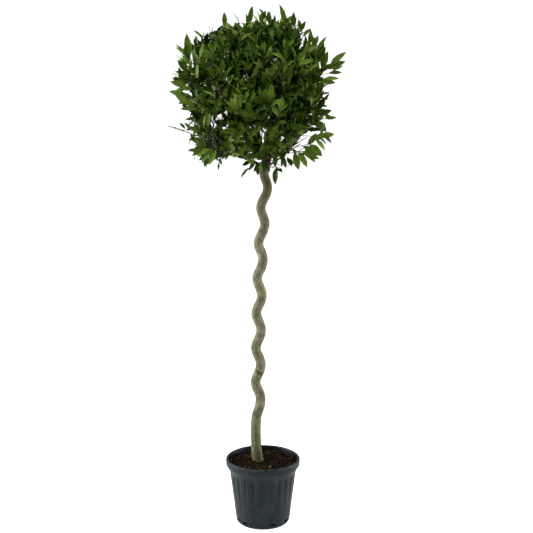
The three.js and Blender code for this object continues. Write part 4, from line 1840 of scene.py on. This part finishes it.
STRAYS = (
    (-8, 10, 34), (-14, -26, 36), (-24, -43, 40), (14, -46, 24), (184, 7, 40), (176, -24, -24),
    (206, -48, 14), (4, 72, 24), (96, 12, 66), (258, -14, 32), (0, 88, -34), (40, 62, -46), (130, 62, -46),
    (220, 62, -46), (310, 62, -46),
)
CLEARINGS = (
    (-151, 1539, 13), (-184, 1513, 10), (-172, 1518, 8), (-65, 1565, 8), (-211, 1662, 9), (-254, 1735, 6),
    (-243, 1752, 5), (138, 1795, 12), (125, 1820, 6), (-251, 1615, 8), (130, 1443, 22), (158, 1466, 18),
    (180, 1486, 12), (204, 1509, 9),
)
TRIMS = (
    (-235, 1890, 130, 44), (-10, 1930, 230, 28), (-330, 1640, 190, 18), (-300, 1770, 80, 40),
    (-287, 1508, 100, 44), (-110, 1360, 80, 50), (110, 1370, 90, 24), (41, 1335, 60, 60),
)
WHIPS = (
    Whip((-135, -50, 1851), 90, (88,), 0.74),
    Whip((-78, -50, 1861), 117, (115,), 0.74, FRESH, roll=60),
    Whip((80, -50, 1866), 99, (104, 74, 132), 0.8),
    Whip((6, -50, 1900), 122, (132, 60, 112), 0.36, DARK, run=36),
    Whip((139, -50, 1836), 102, (106, 48), 0.6),
    Whip((179, -50, 1800), 103, (104, 70), 0.6),
    Whip((-206, -50, 1808), 133, (127,), 0.62, FRESH, roll=68),
    Whip((-255, -60, 1749), 106, (99,), 1.02),
    Whip((-270, -60, 1759), 134, (131,), 0.66, FRESH, roll=74),
    Whip((-237, -50, 1789), 129, (86, 112), 0.56, DARK),
    Whip((-263, -60, 1698), 121, (130, 160), 0.84, DARK),
    Whip((-247, -60, 1670), 149, (150, 122), 0.84),
    Whip((-265, -60, 1650), 159, (164, 186), 0.98, FRESH, run=34),
    Whip((-259, -60, 1618), 160, (168, 202), 0.92),
    Whip((-235, -130, 1577), 146, (148, 178), 1.0),
    Whip((-230, -60, 1533), 167, (172, 150), 0.6, DARK),
    Whip((-275, -60, 1499), 133, (130,), 0.42, DARK),
    Whip((-217, -140, 1426), 182, (175, 199, 150, 222), 0.58, run=57),
    Whip((-183, -150, 1436), 171, (212, 226, 238), 0.8, FRESH),
    Whip((-153, -125, 1387), 270, (262, 290), 0.34, DEEP),
    Whip((-118, -120, 1418), 207, (240, 292), 0.36, DARK),
    Whip((109, -85, 1379), 28, (120, 30), 0.26, DARK),
    Whip((-6, -222, 1512), 112, (224, 6), 0.78, FRESH),
    Whip((2, -222, 1590), 99, (160, 28, 355, 92), 0.66, FRESH),
    Whip((-51, -222, 1642), 124, (143, 62), 0.8),
    Whip((-81, -222, 1493), 143, (175, 215), 0.74),
    Whip((126, -218, 1719), 69, (22, 62), 0.62, FRESH),
    Whip((196, -60, 1749), 83, (76, 112, 60, 92), 1.0, DARK),
    Whip((198, -60, 1778), 41, (64, 100), 0.72),
    Whip((110, -50, 1854), 73, (80, 112, 50), 0.52, DARK),
    Whip((130, -50, 1835), 68, (64, 92, 120), 0.6, DARK),
    Whip((235, -60, 1717), 29, (46, 22, 74, 30), 1.0, run=37),
    Whip((244, -60, 1700), 18, (30, 8), 0.62),
    Whip((214, -60, 1676), 18, (5, 352), 0.7, FRESH),
    Whip((138, -120, 1422), 353, (338, 302, 284), 0.94, FRESH),
    Whip((160, -135, 1450), 16, (322, 300, 338), 0.86, run=50),
    Whip((192, -138, 1476), 45, (8, 318, 30, 322, 52, 338), 0.84, FRESH, run=51),
    Whip((211, -140, 1484), 20, (318, 62, 330), 0.56, DARK),
    Whip((212, -60, 1622), 45, (20, 350, 60), 0.42, DARK),
    Whip((215, -60, 1593), 33, (60, 350, 20), 0.46, DEEP),
    Whip((212, -60, 1558), 31, (330, 15, 300), 0.56, DARK),
    Whip((195, -80, 1522), 19, (312, 340, 20), 0.56),
    Whip((25, -50, 1860), 81, (95, 70, 112), 0.6, DARK),
    Whip((85, -100, 1405), 318, (300, 262), 0.56, DARK),
    Whip((59, -120, 1417), 329, (298, 264, 346), 0.74, DARK),
    Whip((-37, -105, 1393), 194, (210, 240, 165, 272), 0.58, DEEP),
    Whip((-20, -95, 1377), 211, (275, 235, 300, 255), 0.58, DEEP),
    Whip((-46, -50, 1861), 90, (84, 100), 0.74, DARK),
    Whip((102, -50, 1855), 93, (80, 112), 0.68, DARK),
    Whip((-43, -105, 1368), 206, (224,), 0.7, DARK, roll=24),
    Whip((51, -95, 1371), 24, (262,), 0.86, DEEP),
    Whip((60, -95, 1367), 4, (296, 320), 0.36, DEEP),
    Whip((217, -80, 1538), 25, (6, 296), 0.56),
    Whip((-315, -60, 1504), 160, (162, 158, 160, 156), 0.42, YOUNG, roll=74),
    Whip((-2, -222, 1746), 83, (155,), 0.55, YOUNG, roll=74),
    Whip((11, -222, 1739), 90, (65,), 0.72, FRESH, roll=72),
    Whip((-42, -222, 1670), 90, (58,), 0.88, YOUNG, roll=74),
    Whip((-63, -222, 1697), 95, (38,), 0.55, FRESH, roll=72),
    Whip((-165, -205, 1612), 126, (148,), 0.6, YOUNG, roll=62),
    Whip((-140, -210, 1613), 104, (52,), 0.55, FRESH, roll=68),
    Whip((2, -215, 1764), 90, (), 1.0, buds=2),
    Whip((-121, -215, 1748), 103, (), 1.0, buds=5),
    Whip((-57, -224, 1670), 94, (), 1.0, buds=11),
    Whip((-165, -205, 1634), 99, (), 1.0, buds=6),
    Whip((-229, -150, 1596), 131, (), 1.0, buds=7),
    Whip((-208, -165, 1560), 131, (), 1.0, buds=7),
    Whip((37, -224, 1711), 90, (), 1.0, buds=5),
)


@dataclass(frozen=True)
class Crown:
    """The clipped head: its boughs, shoots, side twigs and leaves."""

    stem: CorkscrewStem
    centre: Vector = Vector((-42, 0, 1632))
    half_width: float = 280
    half_depth: float = 272
    half_height: float = 276
    squareness: float = 3.2
    shoots: int = 110
    inner_shoots: int = 11
    inner_reach: float = 0.5
    inner_share: Pair = (0.85, 1.15)
    inner_climb: float = 0.1
    inner_seed: int = 5100
    shoot_depth: Pair = (36, 64)
    hangs_below: float = -0.3
    depth_range: float = 26
    seed: int = 4100
    growth_seed: int = 90000
    stray_share: float = 0.9
    solid_leaf: float = 98
    handle: float = 0.36
    arch: float = 0.35
    bough_tip: float = 0.66
    bough_share: float = 0.8
    stem_tip: float = 0.76
    entries: Triple = (0.26, 0.8, 0.01)
    entry_room: float = 10
    roots: Pair = (0.08, 0.97)
    search: Triple = (0.98, 0.06, 0.04)
    widest_turn: float = 62
    forward: float = 0.9
    bend: float = 0.34
    twig_girth: Pair = (2.3, 1.5)
    side_girth: Pair = (1.25, 0.8)
    whip_girth: Pair = (1.6, 0.9)
    stalk_girth: Pair = (0.7, 0.5)
    cuts: Triple = (1.0, 0.5, 0.05)
    cover: float = 8
    side_spacing: float = 19
    side_from: float = 0.3
    side_length: float = 96
    shortest_side: float = 24
    side_room: float = 34
    side_opening: Pair = (38, 58)
    side_share: Pair = (0.7, 1.2)
    twig_leaves: LeafRow = LeafRow(0.35, 11, 4, 1.0)
    side_leaves: LeafRow = LeafRow(0.25, 8.4, 3, 0.94)
    leaf_opening: float = 52
    tip_opening: float = 34
    turned_out: float = 0.35
    side_lift: Pair = (0.0, 0.7)
    leaf_lift: Pair = (-0.15, 0.4)
    lift_from_to: Pair = (1440, 1680)
    leaf_rise: Pair = (-0.18, 0.3)
    leaf_roll: Pair = (-28, 28)
    leaf_size: Pair = (0.52, 0.94)
    ragged: Pair = (-16, 12)
    bud_share: float = 0.02
    bud_depth: float = 90
    leaves_in_piece: int = 1500
    viewpoint: Vector = Vector((13.8, -3500, 1548))
    tiers: tuple[Tier, ...] = (
        Tier(1, 0, 0, 170, 0, 0, 20, 1402, 0, 7.4),
        Tier(4, 38, 124, 72, 26, 50, 20, 1372, 40, 7.0),
        Tier(5, 8, 186, -98, 30, 10, -40, 1362, 66, 6.4),
    )
    strays: tuple[Stray, ...] = tuple(Stray(*row) for row in STRAYS)
    clearings: tuple[Clearing, ...] = tuple(Clearing(*row) for row in CLEARINGS)
    trims: tuple[Trim, ...] = tuple(Trim(*row) for row in TRIMS)
    whips: tuple[Whip, ...] = WHIPS
    free: float = 1000
    whip_spacing: float = 15
    whip_depth: float = 200
    whip_tilt: Pair = (-0.3, 0.25)
    stray_room: float = 10
    unevenness: float = 15
    clump: float = 85
    shade_middle: float = 0.60
    shade_chance: float = 0.62
    shade_drift: float = 0.28
    drift_size: float = 110
    lit_depth: float = 45
    dark_depth: float = 130
    stray_light: float = 0.2
    shades: tuple[tuple[float, Spray], ...] = ((0.14, DEEP), (0.44, DARK), (0.76, MID), (0.98, FRESH))
    twig_finish: PatchyFinish = PatchyFinish("olive_wood", (0.105, 0.088, 0.040), (0.070, 0.085, 0.028))
    side_finish: PatchyFinish = PatchyFinish("red_brown_wood", (0.040, 0.019, 0.011), (0.042, 0.038, 0.014))
    bud_finish: PatchyFinish = PatchyFinish("pale_buds", (0.50, 0.46, 0.20), (0.38, 0.40, 0.15))

    def reach(self, direction: Vector) -> float:
        """Measure from the centre to the clipped surface.

        Args:
            direction: The unit vector outwards.

        Returns:
            The distance.
        """
        level = hypot(direction.x / self.half_width, direction.y / self.half_depth)
        upright = abs(direction.z) / self.half_height
        return (level**self.squareness + upright**self.squareness) ** (-1 / self.squareness)

    def depth(self, point: Vector) -> float:
        """Give how far a point lies under the clipped surface, below 0 outside it."""
        away = point - self.centre
        return self.reach(away / away.length) - away.length

    def plan_masses(self) -> list[Mass]:
        """Plan the boughs and the masses that they carry.

        Returns:
            Every bough, with where it enters its mass.
        """
        masses = []
        for tier in self.tiers:
            for i in range(tier.count):
                bearing = tier.turn + TURN_DEGREES * i / tier.count
                outward = heading(bearing, 0)
                middle = self.centre + outward * tier.spread + UP * (tier.rise - (i % 2) * tier.stagger)
                start = self.stem.middle(tier.leave_z)
                end = middle + outward * tier.reach + UP * tier.climb
                length = (end - start).length
                leaving = heading(bearing, 90 - tier.tilt)
                arriving = ((end - start).normalized() + UP * self.arch).normalized()
                knee, wrist = start + leaving * self.handle * length, end - arriving * self.handle * length
                masses.append(Mass(tier, middle, arc(start, knee, wrist, end)))
        for mass in masses:
            mass.entry = self.entry_of(mass, masses)
        return masses

    @staticmethod
    def in_cell(point: Vector, mass: Mass, masses: Sequence[Mass], margin: float) -> bool:
        """Tell whether a point is nearer to one mass's middle than to any other's.

        Args:
            point: The point.
            mass: The mass.
            masses: All the masses.
            margin: How much nearer it has to be.

        Returns:
            Whether it is.
        """
        for other in masses:
            if other is mass:
                continue
            across = other.middle - mass.middle
            if (point - mass.middle).dot(across.normalized()) >= across.length / 2 - margin:
                return False
        return True

    def entry_of(self, mass: Mass, masses: Sequence[Mass]) -> float:
        """Find where a bough gives way to the stem of its mass.

        Args:
            mass: The mass.
            masses: All the masses.

        Returns:
            The share of the limb.
        """
        share, latest, step = self.entries
        while share < latest and not self.in_cell(mass.line.point(share), mass, masses, self.entry_room):
            share += step
        return share

    def plan_shoots(self) -> list[Shoot]:
        """Plan the shoots, as the source of the solids does.

        Returns:
            Where every shoot ends.
        """
        made = []
        for k in range(self.shoots):
            random = seeded(self.seed + k)
            height = 1 - 2 * (k + 0.5) / self.shoots
            level = sqrt(1 - height * height)
            direction = Vector((level * cos(k * GOLDEN_ANGLE), level * sin(k * GOLDEN_ANGLE), height))
            depth = mix(*self.shoot_depth, eased(height, -1, self.hangs_below))
            reach = self.reach(direction) - depth - self.depth_range * random()
            made.append(Shoot(self.centre + direction * reach, self.growth_seed + k))
        for k in range(self.inner_shoots):
            random = seeded(self.inner_seed + k)
            outward = heading(TURN_DEGREES * k / self.inner_shoots, 0)
            direction = (outward + UP * self.inner_climb).normalized()
            reach = self.inner_reach * self.reach(direction) * mix(*self.inner_share, random())
            made.append(Shoot(self.centre + direction * reach, self.growth_seed + 1000 + k))
        for k, stray in enumerate(self.strays):
            direction = heading(stray.bearing, stray.climb)
            reach = self.reach(direction) + stray.past - self.stray_share * self.solid_leaf
            past = stray.past + self.stray_room
            made.append(Shoot(self.centre + direction * reach, self.growth_seed + 2000 + k, past))
        return made

    def wanted_share(self, stem: Line, tip: Vector) -> float:
        """Find the furthest place on a mass's stem from which a tip lies well ahead.

        Args:
            stem: The stem.
            tip: The tip.

        Returns:
            The share of the stem.
        """
        widest = cos(radians(self.widest_turn))
        share, least, step = self.search
        while share > least:
            if stem.direction(share).dot((tip - stem.point(share)).normalized()) > widest:
                break
            share -= step
        return share

    def plan_twigs(self, stem: Line, shoots: Sequence[Shoot]) -> list[tuple[Shoot, Line]]:
        """Plan the lines of a mass's twigs, each from the stem to its shoot's tip.

        Args:
            stem: The mass's stem.
            shoots: Its shoots.

        Returns:
            Each shoot and its line, those furthest ahead last.
        """
        ordered = sorted(shoots, key=lambda shoot: self.wanted_share(stem, shoot.tip))
        made = []
        for i, shoot in enumerate(ordered):
            share = mix(*self.roots, (i + 0.5) / len(ordered))
            root = stem.point(share)
            distance = (shoot.tip - root).length
            leaving = (stem.direction(share) * self.forward + (shoot.tip - root) / distance).normalized()
            made.append((shoot, arc(root, root + leaving * self.bend * distance, shoot.tip)))
        return made

    def upward(self, place: Vector, lift: Pair) -> float:
        """Give how strongly growth turns up at a place: hardly low down, and much near the top."""
        return mix(*lift, eased(place.z, *self.lift_from_to))

    def is_clear(self, point: Vector) -> bool:
        """Tell whether a point keeps out of the gaps through which sky shows.

        Args:
            point: The point.

        Returns:
            Whether it does.
        """
        away = point - self.viewpoint
        for gap in self.clearings:
            sight = (Vector((gap.x, 0, gap.z)) - self.viewpoint).normalized()
            if (away - sight * away.dot(sight)).length < gap.radius:
                return False
        return True

    def cut_back(self, place: Vector) -> float:
        """Give how far the surface lies back from its even shape.

        Args:
            place: The place.

        Returns:
            How far, below 0 where it swells.
        """
        cut = self.unevenness * rough(place, self.clump, 21)
        for trim in self.trims:
            away = hypot(place.x - trim.x, place.z - trim.z)
            cut += trim.cut * (1 - eased(away, 0.4 * trim.radius, trim.radius))
        return cut

    def deal(self, place: Vector, random: Chance, past: float) -> Spray:
        """Deal a spray its shade: dark deep inside as painted shade, fresh near the surface, in drifts.

        Args:
            place: Where the spray ends.
            random: Its numbers.
            past: How far it may pass the surface.

        Returns:
            The shade.
        """
        drift = self.shade_drift * rough(place, self.drift_size, 3)
        light = self.shade_middle + drift + self.shade_chance * (random() - 0.5)
        # Painted shade: the deeper under the surface, the darker the leaves.
        light -= max(0.0, self.depth(place) - self.lit_depth) / self.dark_depth
        # Strays are paler the higher they stand: fresh growth, with painted light on the top of the crown.
        if past > 0:
            light += self.stray_light * eased(place.z, *self.lift_from_to)
        for limit, spray in self.shades:
            if light < limit:
                return spray
        return YOUNG

    def add_leaf(
        self, sprig: Sprig, root: Vector, along: Vector, outward: Vector, opening: float, size: float
    ) -> None:
        """Add a leaf that leaves its twig to one side, and turns up as the growth there does.

        Args:
            sprig: What it grows with.
            root: Where its stalk starts.
            along: The direction of the twig there.
            outward: The side to which it leaves.
            opening: Its angle to the twig, in degrees.
            size: Its size, as a share of its shape's.
        """
        random = sprig.random
        turn = radians(opening)
        lift = UP * (mix(*self.leaf_rise, random()) + self.upward(root, self.leaf_lift))
        pointing = (along * cos(turn) + outward * sin(turn) + lift).normalized()
        upper = (along - pointing * along.dot(pointing)).normalized()
        upper += ((root - self.centre).normalized() + UP) * self.turned_out
        self.lay_leaf(sprig, root, pointing, upper, size)

    def lay_leaf(self, sprig: Sprig, root: Vector, pointing: Vector, upper: Vector, size: float) -> None:
        """Lay a leaf, unless it would stick out of the surface or close a gap.

        Args:
            sprig: What it grows with.
            root: Where its stalk starts.
            pointing: The unit vector towards its tip.
            upper: Where its upper side turns, as far as it can.
            size: Its size, as a share of its shape's.
        """
        shape = int(sprig.random() * len(LEAF_SHAPES))
        tip = root + pointing * (size * LEAF_SHAPES[shape].length)
        past = sprig.past if sprig.past else mix(*self.ragged, sprig.random()) - self.cut_back(tip)
        spots = [root.lerp(tip, share) for share in (0.2, 0.5, 0.8, 1.0)]
        clear = past == self.free or all(self.is_clear(spot) for spot in spots)
        if self.depth(tip) < -past or not clear:
            return
        facing = (upper - pointing * upper.dot(pointing)).normalized()
        facing = Quaternion(pointing, radians(mix(*self.leaf_roll, sprig.random()))) @ facing
        sprig.leaves.add(root, (pointing.cross(facing), pointing, facing), size, shape)

    def add_leaves(self, sprig: Sprig, line: Line, row: LeafRow) -> None:
        """Set leaves along a twig, turned on by the golden angle, and a rosette at its tip.

        Args:
            sprig: What they grow with.
            line: The twig.
            row: How they stand along it.
        """
        random = sprig.random
        turn = TURN * random()
        count = max(1, round(line.length * (0.95 - row.bare) / row.spacing))
        shares = [mix(row.bare, 0.95, (i + 0.3 + 0.4 * random()) / count) for i in range(count)]
        places = [(share, self.leaf_opening) for share in shares]
        places += [(mix(0.96, 1.0, i / row.rosette), self.tip_opening) for i in range(row.rosette)]
        for share, opening in places:
            turn += GOLDEN_ANGLE
            root, along = line.point(share), line.direction(share)
            side = along.orthogonal().normalized()
            outward = around(side, along, turn)
            grown = row.size * mix(*self.leaf_size, random())
            self.add_leaf(sprig, root, along, outward, opening * mix(0.7, 1.3, random()), grown)
            if random() < self.bud_share and self.cut_back(root) < self.depth(root) < self.bud_depth:
                axis = (along + outward + UP * 0.4).normalized()
                across = axis.orthogonal().normalized()
                turned = (across, axis.cross(across), axis)
                sprig.buds.add(root + outward * 3, turned, mix(0.8, 1.2, random()), 0)

    def side_line(self, line: Line, share: float, turn: float, random: Chance) -> Line | None:
        """Find a side twig that stays below the clipped surface.

        Args:
            line: The twig.
            share: Where it leaves.
            turn: Its angle round the twig.
            random: The twig's numbers.

        Returns:
            Its line, or nothing if there's no room.
        """
        start, ahead = line.point(share), line.direction(share)
        side = ahead.orthogonal().normalized()
        outward = around(side, ahead, turn)
        opening = radians(mix(*self.side_opening, random()))
        leaving = (ahead * cos(opening) + outward * sin(opening)).normalized()
        rise = UP * self.upward(start, self.side_lift)
        length = self.side_length * (1 - 0.5 * share) * mix(*self.side_share, random())
        while length > self.shortest_side:
            end = start + (leaving + rise) * length
            if self.depth(end) > self.side_room:
                return arc(start, start + leaving * 0.55 * length, end)
            length *= 0.86
        return None

    def covered_share(self, line: Line) -> float:
        """Give the share of a twig at which it is cut back, so that no bare end shows.

        Args:
            line: The twig's line.

        Returns:
            The share, 1 where the whole twig lies under the surface.
        """
        end, least, step = self.cuts
        while end > least:
            tip = line.point(end)
            if self.depth(tip) >= self.cut_back(tip) + self.cover:
                break
            end -= step
        return end

    def grow_twig(self, growth: Growth, shoot: Shoot, line: Line) -> None:
        """Grow one shoot: its twig, its side twigs and the leaves on all of them.

        Args:
            growth: What it is added to.
            shoot: The shoot.
            line: The line of its twig, from its mass's stem.
        """
        random = seeded(shoot.seed)
        end = 1.0 if shoot.past else self.covered_share(line)
        line = line.part(0, end) if end < 1 else line
        growth.twigs.add(line, self.twig_girth, 10)
        leaves = growth.leaves[self.deal(shoot.tip, random, shoot.past)]
        sprig = Sprig(leaves, growth.buds, random, shoot.past)
        self.add_leaves(sprig, line, self.twig_leaves)
        turn = TURN * random()
        count = max(1, round(line.length * (0.94 - self.side_from) / self.side_spacing))
        for i in range(count):
            turn += GOLDEN_ANGLE
            share = mix(self.side_from, 0.94, (i + 0.2 + 0.6 * random()) / count)
            side = self.side_line(line, share, turn, random)
            if side is None or not all(self.is_clear(side.point(t)) for t in (0.4, 0.7, 1.0)):
                continue
            growth.side_twigs.add(side, self.side_girth, 6)
            leaves = growth.leaves[self.deal(side.point(1), random, shoot.past)]
            sprig = Sprig(leaves, growth.buds, random, shoot.past)
            self.add_leaves(sprig, side, self.side_leaves)

    def grow_whip(self, growth: Growth, whip: Whip, masses: Sequence[Mass], seed: int) -> None:
        """Grow one shoot that stands by itself, from the nearest bough.

        Args:
            growth: What it is added to.
            whip: The shoot.
            masses: The boughs.
            seed: Where its numbers start.
        """
        random = seeded(seed)
        tip, turn = Vector(whip.tip), radians(whip.heading)
        step = Vector((cos(turn), tip.y / self.whip_depth, sin(turn))) * whip.run
        roots = [mass.line.point(share / 20) for mass in masses for share in range(6, 21)]
        root = min(roots, key=lambda spot: (spot - tip + step * 2).length)
        line = arc(root, tip - step * 2, tip - step, tip)
        growth.side_twigs.add(line, self.whip_girth, 12)
        sprig = Sprig(growth.leaves[whip.shade], growth.buds, random, self.free)
        for i, angle in enumerate(whip.fan):
            share = max(0.1, 1 - i * self.whip_spacing / line.length)
            turn = radians(angle)
            pointing = Vector((cos(turn), mix(*self.whip_tilt, random()), sin(turn))).normalized()
            upper = Vector((0, -mix(0.5, 1.0, random()), 0)) + UP * mix(0.1, 0.6, random())
            upper = Quaternion(pointing, radians(whip.roll)) @ upper
            self.lay_leaf(sprig, line.point(share), pointing, upper, whip.size * mix(0.92, 1.06, random()))
        for i in range(whip.buds):
            out = heading(TURN_DEGREES * random(), mix(-30, 80, random()))
            spot = tip + out * mix(4, 15, random())
            stalk = Line(lambda share, spot=spot: tip.lerp(spot, share), 2)
            growth.side_twigs.add(stalk, self.stalk_girth, 2)
            across = out.orthogonal().normalized()
            growth.buds.add(spot, (across.cross(out), across, out), 0.52, 0)

    def grow(self) -> tuple[list[Mass], Growth]:
        """Grow the whole crown from its seeds.

        Returns:
            The boughs, and all that grew.
        """
        masses = self.plan_masses()
        growth = Growth()
        homes: list[list[Shoot]] = [[] for _ in masses]
        for shoot in self.plan_shoots():
            away = [(shoot.tip - mass.middle).length for mass in masses]
            homes[away.index(min(away))].append(shoot)
        for mass, shoots in zip(masses, homes):
            for shoot, line in self.plan_twigs(mass.line.part(mass.entry, 1), shoots):
                self.grow_twig(growth, shoot, line)
        for i, whip in enumerate(self.whips):
            self.grow_whip(growth, whip, masses, self.growth_seed + 3000 + i)
        return masses, growth

    def bough_skin(self, masses: Sequence[Mass]) -> Mesh:
        """Make the boughs, from the trunk to the ends of their masses.

        Args:
            masses: The boughs.

        Returns:
            All of them in one mesh.
        """
        skin = Skin()
        for mass in masses:

            def radius(share: float, _middle: Vector, mass: Mass = mass) -> float:
                """Taper the bough to its mass and on to its end.

                Args:
                    share: The share of the limb.
                    _middle: The middle there, not used.
                    mass: The bough's mass.

                Returns:
                    The radius.
                """
                girth = mass.tier.girth * self.bough_share
                thin = girth * self.bough_tip
                if share < mass.entry:
                    return mix(girth, thin, share / mass.entry)
                return thin * mix(1, self.stem_tip, (share - mass.entry) / (1 - mass.entry))

            def relief(point: Vector, _outward: Vector) -> float:
                """Give the bark's lumps."""
                return 0.5 * rough(point, 14, 5) + 0.25 * rough(point, 4, 6)

            skin.add_rings(rings_along(mass.line, radius, 70, 18, relief))
        skin.values["stain"] = [0.35 * max(0.0, rough(point, 9, 7)) for point in skin.points]
        return skin.mesh("main_boughs")

    def bud_shape(self) -> Mesh:
        """Make a cluster of small round flower buds.

        Returns:
            The cluster.
        """
        skin = Skin()
        random = seeded(61)
        for i in range(6):
            turn = i * GOLDEN_ANGLE
            out = Vector((cos(turn), sin(turn), 0)) * (0.0 if i == 0 else 3.6)
            middle = out + UP * mix(5.5, 8.0, random())
            radius = mix(1.7, 2.3, random())
            rings = []
            for high, wide in ((-0.8, 0.6), (0.0, 1.0), (0.8, 0.6)):
                spin = [TURN * k / 5 for k in range(5)]
                rings.append([middle + radius * Vector((wide * cos(a), wide * sin(a), high)) for a in spin])
            skin.add_rings(rings)
        return skin.mesh("bud")

    def build(self, bough_bark: Material) -> None:
        """Make and dress the boughs, the twigs, the buds and the leaves.

        Args:
            bough_bark: The bark of the boughs.
        """
        masses, growth = self.grow()
        boughs = self.bough_skin(masses)
        boughs.materials.append(bough_bark)
        show("main_boughs", boughs, BOUGH_NODES)
        tree = twig_skin()
        for name, finish in (("twigs", self.twig_finish), ("side_twigs", self.side_finish)):
            inputs = {"Sides": 6, "Thickness": 1.0, "Material": finish.make()}
            lines = getattr(growth, name).mesh(name)
            show(name, run_tree(tree, lines, inputs, name), FOLIAGE_NODES)
        self.dress_leaves(growth)

    def dress_leaves(self, growth: Growth) -> None:
        """Stand the leaves and buds at their places, in small pieces.

        Args:
            growth: What grew.
        """
        shapes = shape_collection("leaf", [shape.mesh(f"leaf_{i}") for i, shape in enumerate(LEAF_SHAPES)])
        tree = placed_copies([Side.UNDER.value, Side.RIB.value])
        for spray, leaves in growth.leaves.items():
            coats = spray.value.make()
            inputs = {"Shapes": shapes, "Spread": 0.06, "Seed": 5, "Material": coats[Side.UPPER]}
            inputs.update((side.value, coats[side]) for side in (Side.UNDER, Side.RIB))
            for i, share in enumerate(leaves.split(self.leaves_in_piece), 1):
                name = f"leaves_{spray.value.name}_{i}"
                mesh = run_tree(tree, share.points(name), inputs, name)
                for side in (Side.UNDER, Side.RIB):
                    mesh.attributes.remove(mesh.attributes[side.value])
                show(name, mesh, FOLIAGE_NODES)
                logger.info("%s: %d leaves", name, len(share.places))
        drop_collection(shapes)
        buds = shape_collection("bud", [self.bud_shape()])
        inputs = {"Shapes": buds, "Spread": 0.15, "Seed": 6, "Material": self.bud_finish.make()}
        mesh = run_tree(placed_copies(), growth.buds.points("buds"), inputs, "flower_buds")
        show("flower_buds", mesh, FOLIAGE_NODES)
        drop_collection(buds)


# The studio


@dataclass(frozen=True)
class Lamp:
    """A soft square lamp: its place, the height it is aimed at, its size and its power."""

    name: str
    place: Triple
    aim: float
    width: float
    watts: float


@dataclass(frozen=True)
class Studio:
    """A white studio with the camera where the photograph was taken."""

    camera_place: Triple = (0.0138, -3.5, 1.548)
    camera_pitch: float = 9
    lens: float = 64.33
    sensor: float = 36
    floor_half: float = 9
    floor_z: float = -0.0004
    floor_glow: float = 0.95
    world_light: float = 0.11
    lamps: tuple[Lamp, ...] = (
        Lamp("key", (-1.7, -3.0, 3.4), 1.4, 1.2, 56),
        Lamp("right", (2.7, 0.1, 1.5), 1.0, 2.0, 94),
        Lamp("left", (-2.7, 0.1, 1.5), 1.0, 2.0, 120),
        Lamp("top", (0.0, -0.4, 4.2), 1.0, 2.0, 62),
    )

    def place_camera(self) -> None:
        """Put the camera at the photograph's view."""
        camera = bpy.data.cameras.new("photo_view")
        camera.lens = self.lens
        camera.sensor_width = self.sensor
        camera.clip_end = 60
        one = add_object("photo_view", camera)
        one.location = self.camera_place
        one.rotation_euler = (radians(90 - self.camera_pitch), 0, 0)
        bpy.context.scene.camera = one

    def light_world(self) -> None:
        """Make the surroundings white to the camera, and a softer light."""
        world = bpy.data.worlds.new("white_studio")
        world.use_nodes = True
        bench = Bench(world.node_tree)
        surface = world.node_tree.nodes["Background"]
        path = bench.add("ShaderNodeLightPath").outputs["Is Camera Ray"]
        strength = bench.plus(bench.times(path, 1.1 - self.world_light), self.world_light)
        surface.inputs["Color"].default_value = (1, 1, 1, 1)
        world.node_tree.links.new(strength, surface.inputs["Strength"])
        bpy.context.scene.world = world

    def place_lamps(self) -> None:
        """Put up the soft lamps."""
        for lamp in self.lamps:
            light = bpy.data.lights.new(lamp.name, "AREA")
            light.size = lamp.width
            light.energy = lamp.watts
            one = add_object(lamp.name, light)
            one.location = lamp.place
            aim = UP * lamp.aim - Vector(lamp.place)
            one.rotation_euler = aim.to_track_quat("-Z", "Y").to_euler()
            one.visible_camera = False

    def lay_floor(self) -> None:
        """Lay the pale floor."""
        mesh = bpy.data.meshes.new("studio_floor")
        turns = ((-1, -1), (1, -1), (1, 1), (-1, 1))
        corners = [(self.floor_half * x, self.floor_half * y, self.floor_z) for x, y in turns]
        mesh.from_pydata(corners, [], [(0, 1, 2, 3)])
        coat = Coat("pale_floor")
        seen = coat.bench.add("ShaderNodeLightPath").outputs["Is Camera Ray"]
        coat.set(Base_Color=(0.85, 0.85, 0.85), Roughness=0.9, Specular_IOR_Level=0.0)
        coat.set(Emission_Color=(1.0, 1.0, 1.0), Emission_Strength=coat.bench.times(seen, self.floor_glow))
        mesh.materials.append(coat.material)
        floor = add_object("studio_floor", mesh)

    def build(self) -> None:
        """Set up the whole studio."""
        self.place_camera()
        self.light_world()
        self.place_lamps()
        self.lay_floor()
        bpy.context.scene.view_settings.view_transform = "Standard"
        bpy.context.scene.view_settings.look = "None"


def main() -> None:
    """Build the tree around its solids, then the studio."""
    logging.basicConfig(level=logging.INFO, format="%(message)s")
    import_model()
    pot = NurseryPot()
    pot.build()
    stem = CorkscrewStem()
    MulchBed(pot, stem.middle(stem.foot_z)).build()
    stem.build(BarkFinish().make())
    # The boughs' bark is dark brown and lies wholly in the shaded band: the wood's tone with painted shade of
    # the crown.
    brown_bark = BarkFinish(
        name="brown_bark",
        base=(0.075, 0.056, 0.032),
        pale=(0.125, 0.098, 0.060),
        brown=(0.045, 0.030, 0.018),
        browner_and_shaded=(0.6, 1.3),
    )
    Crown(stem).build(brown_bark.make())
    Studio().build()


if __name__ == "__main__":
    main()
